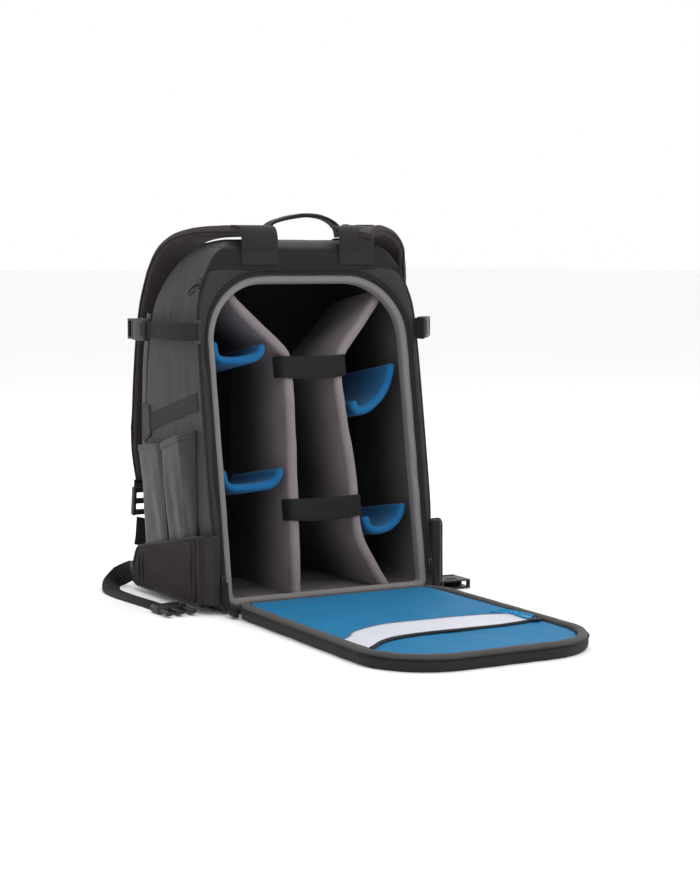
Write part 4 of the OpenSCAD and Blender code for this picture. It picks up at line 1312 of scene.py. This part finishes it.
def bucklePlug(place):
    parts = [blockPart((-4.5, 32.5, 1), (4.5, 38, 25), 1.8, place)]
    parts += [blockPart((-4.2, 36, z), (4.2, 50, z + 3), 1.2, place) for z in (1, 22)]
    parts += [blockPart((-4.2, 46, 1.2), (4.2, 49.8, 24.8), 1.6, place)]
    parts += [blockPart((-1.8, 12, 11), (1.8, 34, 15), 0.9, place)]
    for z in (4, 18):
        parts.append(blockPart((-1.8, 16, z + 0.4), (1.8, 34, z + 3.6), 0.9, place))
        parts.append(blockPart((-2.0, 12, z), (2.0, 18, z + 4), 1.0, place))
    return parts


makePiece("buckleSockets", buckleSocket(buckleAt["left"]) + buckleSocket(buckleAt["right"]), "plastic", "bag",
          ["buckle_sockets"])
for name in sides:
    makePiece("bucklePlug_" + name, bucklePlug(buckleAt[name]), "plastic", "plug_" + name,
              ["buckle_plug_" + name])
print("sides built")

# hip belt

wing = {"low": 148.4, "high": 157.6,
        "corners": [(-97, 10), (-30, 6.4), (92, 6.4), (104, 13), (100, 30), (87, 54), (12, 70), (-96, 89)],
        "hinge": [(142.5, -108.6), (146, -108), (149, -104), (151.5, -99), (153, -93), (154, -86)]}


def waistPlugParts(place):  # a base bar, the middle tongue and two sprung prongs
    parts = [blockPart((-18, -10, 0.2), (18, -0.4, 9), 2.4, place),
             blockPart((-18, -22, 0.4), (18, -16, 9), 2.2, place)]
    parts += [blockPart((x, -20, 0.4), (x + 5, -2, 8.8), 1.8, place) for x in (-18, 13)]
    parts += [blockPart((-4, -44, 2), (4, -18, 7), 1.6, place)]
    parts += [blockPart((x, -40, 2), (x + 6, -18, 7), 1.8, place) for x in (-17, 11)]
    parts += [blockPart((x, -46, 1.8), (x + 7.6, -36, 7.2), 2.2, place) for x in (-18, 10.4)]
    return parts


def waistSocketParts(place):  # a hollow shell with side windows and grip ribs
    parts = [blockPart((-20, -18, 0.2), (20, -9, 11), 3.0, place),
             blockPart((-20, -4.5, 0.2), (20, -0.4, 11), 2.0, place)]
    parts += [blockPart((-20, -42, z), (20, -16, z + 2.2), 1.0, place) for z in (0.1, 8.8)]
    parts += [blockPart((x, -42, 0.4), (x + 3.4, -36, 10.8), 1.4, place) for x in (-20, 16.6)]
    parts += [blockPart((x, -22, 0.4), (x + 3.4, -1, 10.8), 1.4, place) for x in (-20, 16.6)]
    parts += [blockPart((-7, y, 10.4), (7, y + 1.4, 11.5), 0.5, place) for y in (-33, -30, -27)]
    return parts


for name, side in sides.items():
    place = onSide(side)
    loop = roundedLoop(wing["corners"], 9, 130)
    makePiece("wingPad_" + name, [pillowPart(loop, wing["low"], wing["high"], 4.4, place, 0.8, 81, 0.5)],
              "beltEdge",
              "belt_" + name, ["wing_" + name])
    middle = loop.mean(0)
    reach = np.linalg.norm(loop - middle, axis=1, keepdims=True)
    inner = middle + (loop - middle) * (1 - 9.5 / reach)
    makePiece("wingMesh_" + name, [pillowPart(inner, 156.6, 159.2, 1.2, place, 0.5, 83, 0.5)], "belt",
              "belt_" + name)
    edge = np.column_stack([middle + (loop - middle) * (1 - 3.0 / reach), np.full(130, 157.4)])
    makePiece("wingBinding_" + name, [tubePart(place(edge), 3.6, 8, closed=True)], "beltEdge", "belt_" + name)
    stitchLine = np.column_stack([middle + (loop - middle) * (1 - 7.2 / reach), np.full(130, 158.2)])
    parts = stitchParts(place(np.vstack([stitchLine, stitchLine[:1]])), (side, 0, 0), 3.4, 0.5)
    makePiece("wingStitches_" + name, parts, "darkThread", "belt_" + name)
    channels = [tubePart(place(smoothLine([(y, low, 159.3), (y + 1, (low + high) / 2, 160.2),
                                           (y, high, 159.3)], 24)),
                         2.0, 6) for y, low, high in ((-76, 17, 80), (62, 14, 50), (74, 14, 47))]
    makePiece("wingChannels_" + name, channels, "beltEdge", "belt_" + name)
    tip = [blockPart((side * 153 - 6, 97, 9), (side * 153 + 6, 106, 32), 2.2),
           blockPart((side * 153 - 7, 93, 11), (side * 153 + 7, 98, 30), 2.0)]
    makePiece("wingTip_" + name, tip, "plastic", "belt_" + name)
    sleeve = [(side * 143 + 5.2 * math.cos(a), -104 + 5.2 * math.sin(a))
              for a in np.linspace(0, 2 * math.pi, 24)[:-1]]
    rows = np.array([[(x, y, z) for x, y in sleeve] for z in np.linspace(11, 88, 30)])
    rows[..., :2] += 0.4 * ripple(rows, 18, 87)[..., None]
    makePiece("wingRoot_" + name, [gridPart(rows)], "beltEdge", "bag", ["wing_roots"] if side < 0 else [])
    bend = [[(side * x, y, z) for z in np.linspace(12, 87, 24)] for x, y in wing["hinge"]]
    web = makePiece("wingHinge_" + name, [gridPart(np.array(bend), ring=False)], "beltEdge", None, solid=2.6)
    "belt_" + name
    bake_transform(web)

    atEnd = turned((side * 181, -50, 0.3), side * -2)
    if side < 0:
        end = makePiece("waistPlug", waistPlugParts(atEnd), "plastic", "belt_left", ["waist_plug"])
    else:
        end = makePiece("waistSocket", waistSocketParts(atEnd), "plastic", "belt_right", ["waist_socket"])
    webPiece, path = waistPieces[name]
    path[0] * mm
    path * mm
print("belt built")

# far side and top

farPocket = {"half": 115, "profile": [(60, 100), (70, 116), (120, 122), (200, 122), (262, 116), (318, 102),
                                      (330, 84)],
             "zip": 190}
xs = np.linspace(-farPocket["half"], farPocket["half"], 90)
zs = np.linspace(60, 330, 90)
profileCurve = smoothLine(farPocket["profile"], 200)
rows = []
for z in zs:
    over = np.interp(z, profileCurve[:, 0], profileCurve[:, 1]) - farY(z)
    roll = np.clip((farPocket["half"] - np.abs(xs)) / 12, 0, 1)
    lift = np.maximum(over, 0.6) * np.sin(roll * math.pi / 2) ** 0.8
    at = np.column_stack([xs, farY(z) + lift, np.full(90, z)])
    groove = np.exp(-((z - farPocket["zip"]) / 4) ** 2) * 2.4 * np.clip((96 - np.abs(xs)) / 8, 0, 1)
    at[:, 1] += 0.6 * ripple(at, 60, 91) * roll - groove - 0.4
    rows.append(at)
makePiece("farPocket", [gridPart(np.array(rows), ring=False)], "shell", "bag", ["front_pocket"], solid=1.8)
zipX = np.linspace(-94, 94, 60)
zipPoints = np.column_stack([zipX, np.full(60, 119.9), np.full(60, farPocket["zip"])])
makePiece("farZipTape", [slabPart(zipPoints, (0, 0, 1), 9, 0.9)], "tape", "bag")
coil = []
for x in np.arange(-93, 93, 1.7):
    coil.append(tubePart([(x, 120.1, farPocket["zip"] - 1.3), (x + 0.4, 121.2, farPocket["zip"]),
                          (x, 120.1, farPocket["zip"] + 1.3)], 0.95, 5))
makePiece("farZipCoil", coil, "coil", "bag")
outline = roundedLoop([(-113, 64), (113, 64), (113, 326), (-113, 326)], 10, 200)
edge = np.column_stack([outline[:, 0], farY(outline[:, 1]) + 0.8, outline[:, 1]])
makePiece("farPocketPiping", [tubePart(edge, 3.0, 8, closed=True)], "tape", "bag")
seams = []
for x in (-58, 58):
    z = np.linspace(74, 178, 40)
    y = np.interp(z, profileCurve[:, 0], profileCurve[:, 1])
    seams += stitchParts(np.column_stack([np.full(40, x), y + 0.7, z]), (0, 1, 0), 3.6, 0.55)
z = np.linspace(202, 320, 40)
y = np.interp(z, profileCurve[:, 0], profileCurve[:, 1])
for x in (-84, 84):
    seams += stitchParts(np.column_stack([np.full(40, x), y + 0.7, z]), (0, 1, 0), 3.6, 0.55)
makePiece("farPocketStitches", seams, "darkThread", "bag")


farSlider = {"x": -70, "y": 127.0}


def onFar(p):
    p = np.array(p, float)
    return np.stack([farSlider["x"] + p[..., 1], farSlider["y"] - p[..., 2],
                     farPocket["zip"] + p[..., 0]], -1)


makePiece("farSlider", sliderParts(onFar, 13.6, 7.4, 5.0), "slider", "pocket_slider", ["front_slider"])
pull = smoothLine([(-64, 126.6, 190), (-64, 127.4, 184), (-63.6, 126.6, 172), (-63.4, 125.6, 160)], 24)
makePiece("farPull", [slabPart(pull, (1, 0, 0), 4.4, 1.8)], "blackCord", "pocket_slider")

sideZip = {"x": -131.5, "y": -54, "z": 368, "tilt": 18}


def onSideZip(p):  # (along the bag, up the zip, off the side) at the slider's place
    p = np.array(p, float)
    a = math.radians(sideZip["tilt"])
    out = -p[..., 2]
    along = p[..., 0] + 4
    up = p[..., 1] - 7
    return np.stack([sideZip["x"] + out * math.cos(a) + up * math.sin(a), sideZip["y"] + along,
                     sideZip["z"] + up * math.cos(a) - out * math.sin(a)], -1)


def onSideSlider(p):
    p = np.array(p, float)
    return onSideZip(np.stack([p[..., 0], p[..., 1], 4.2 - p[..., 2]], -1))


makePiece("sideSlider", sliderParts(onSideSlider, 14, 6.8, 4.0), "slider", "side_zip_slider", ["side_slider"])
tangle = [(0, 3, 4.6), (3, -1, 6), (-3, -5, 8), (-6, -8, 10.4), (-1, -11, 10.8), (5, -9, 10.4),
          (7, -2, 7.4), (2, 3, 4.6)]
makePiece("sidePull", [tubePart(onSideZip(smoothLine(tangle, 60, closed=True)), 2.0, 8, closed=True)],
          "blackCord",
          "side_zip_slider")
print("far side built")

# studio

studio = {
    "world": 1.0, "pale": (0.93, 0.93, 0.93), "cloud": (0.96, 0.96, 0.96),
    "lights": [("keyLight", (0.2, -2.3, 2.1), 1.4, 26), ("leftLight", (-2.3, -0.2, 1.1), 1.0, 3),
               ("rightLight", (2.2, -0.8, 1.5), 1.2, 9),
               ("topLight", (0.2, 0.9, 2.3), 1.4, 16)],
}
floorMesh = bpy.data.meshes.new("studioFloor")
floorMesh.from_pydata([(-40, -9, 0), (40, -9, 0), (40, 60, 0), (-40, 60, 0)], [], [(0, 1, 2, 3)])
floorPiece = bpy.data.objects.new("studioFloor", floorMesh)
bpy.context.scene.collection.objects.link(floorPiece)
floorFinish, floorTree, floorShader, floorPlace = newFinish("studioFloor", "none")
floorCloud = grain(floorTree, floorPlace, 2.0)
feed(floorTree, floorShader.inputs["Base Color"],
     blendColours(floorTree, floorCloud, studio["pale"], studio["cloud"]))
floorShader.inputs["Roughness"].default_value = 0.8
floorShader.inputs["Specular IOR Level"].default_value = 0.1
floorMesh.materials.append(floorFinish)


def softLight(name, at, target, size, power):
    data = bpy.data.lights.new(name, "AREA")
    data.size = size
    data.energy = power
    light = bpy.data.objects.new(name, data)
    light.location = at
    light.rotation_euler = (Vector(target) - Vector(at)).to_track_quat("-Z", "Y").to_euler()
    bpy.context.scene.collection.objects.link(light)


bpy.context.scene.view_settings.view_transform = "Standard"
for name, at, size, power in studio["lights"]:
    softLight(name, at, (0, 0, 0.2), size, power)
world = bpy.data.worlds.new("studio")
bpy.context.scene.world = world
world.use_nodes = True
background = next(n for n in world.node_tree.nodes if n.type == "BACKGROUND")
background.inputs["Color"].default_value = (1, 1, 1, 1)
background.inputs["Strength"].default_value = studio["world"]

print("scene complete")
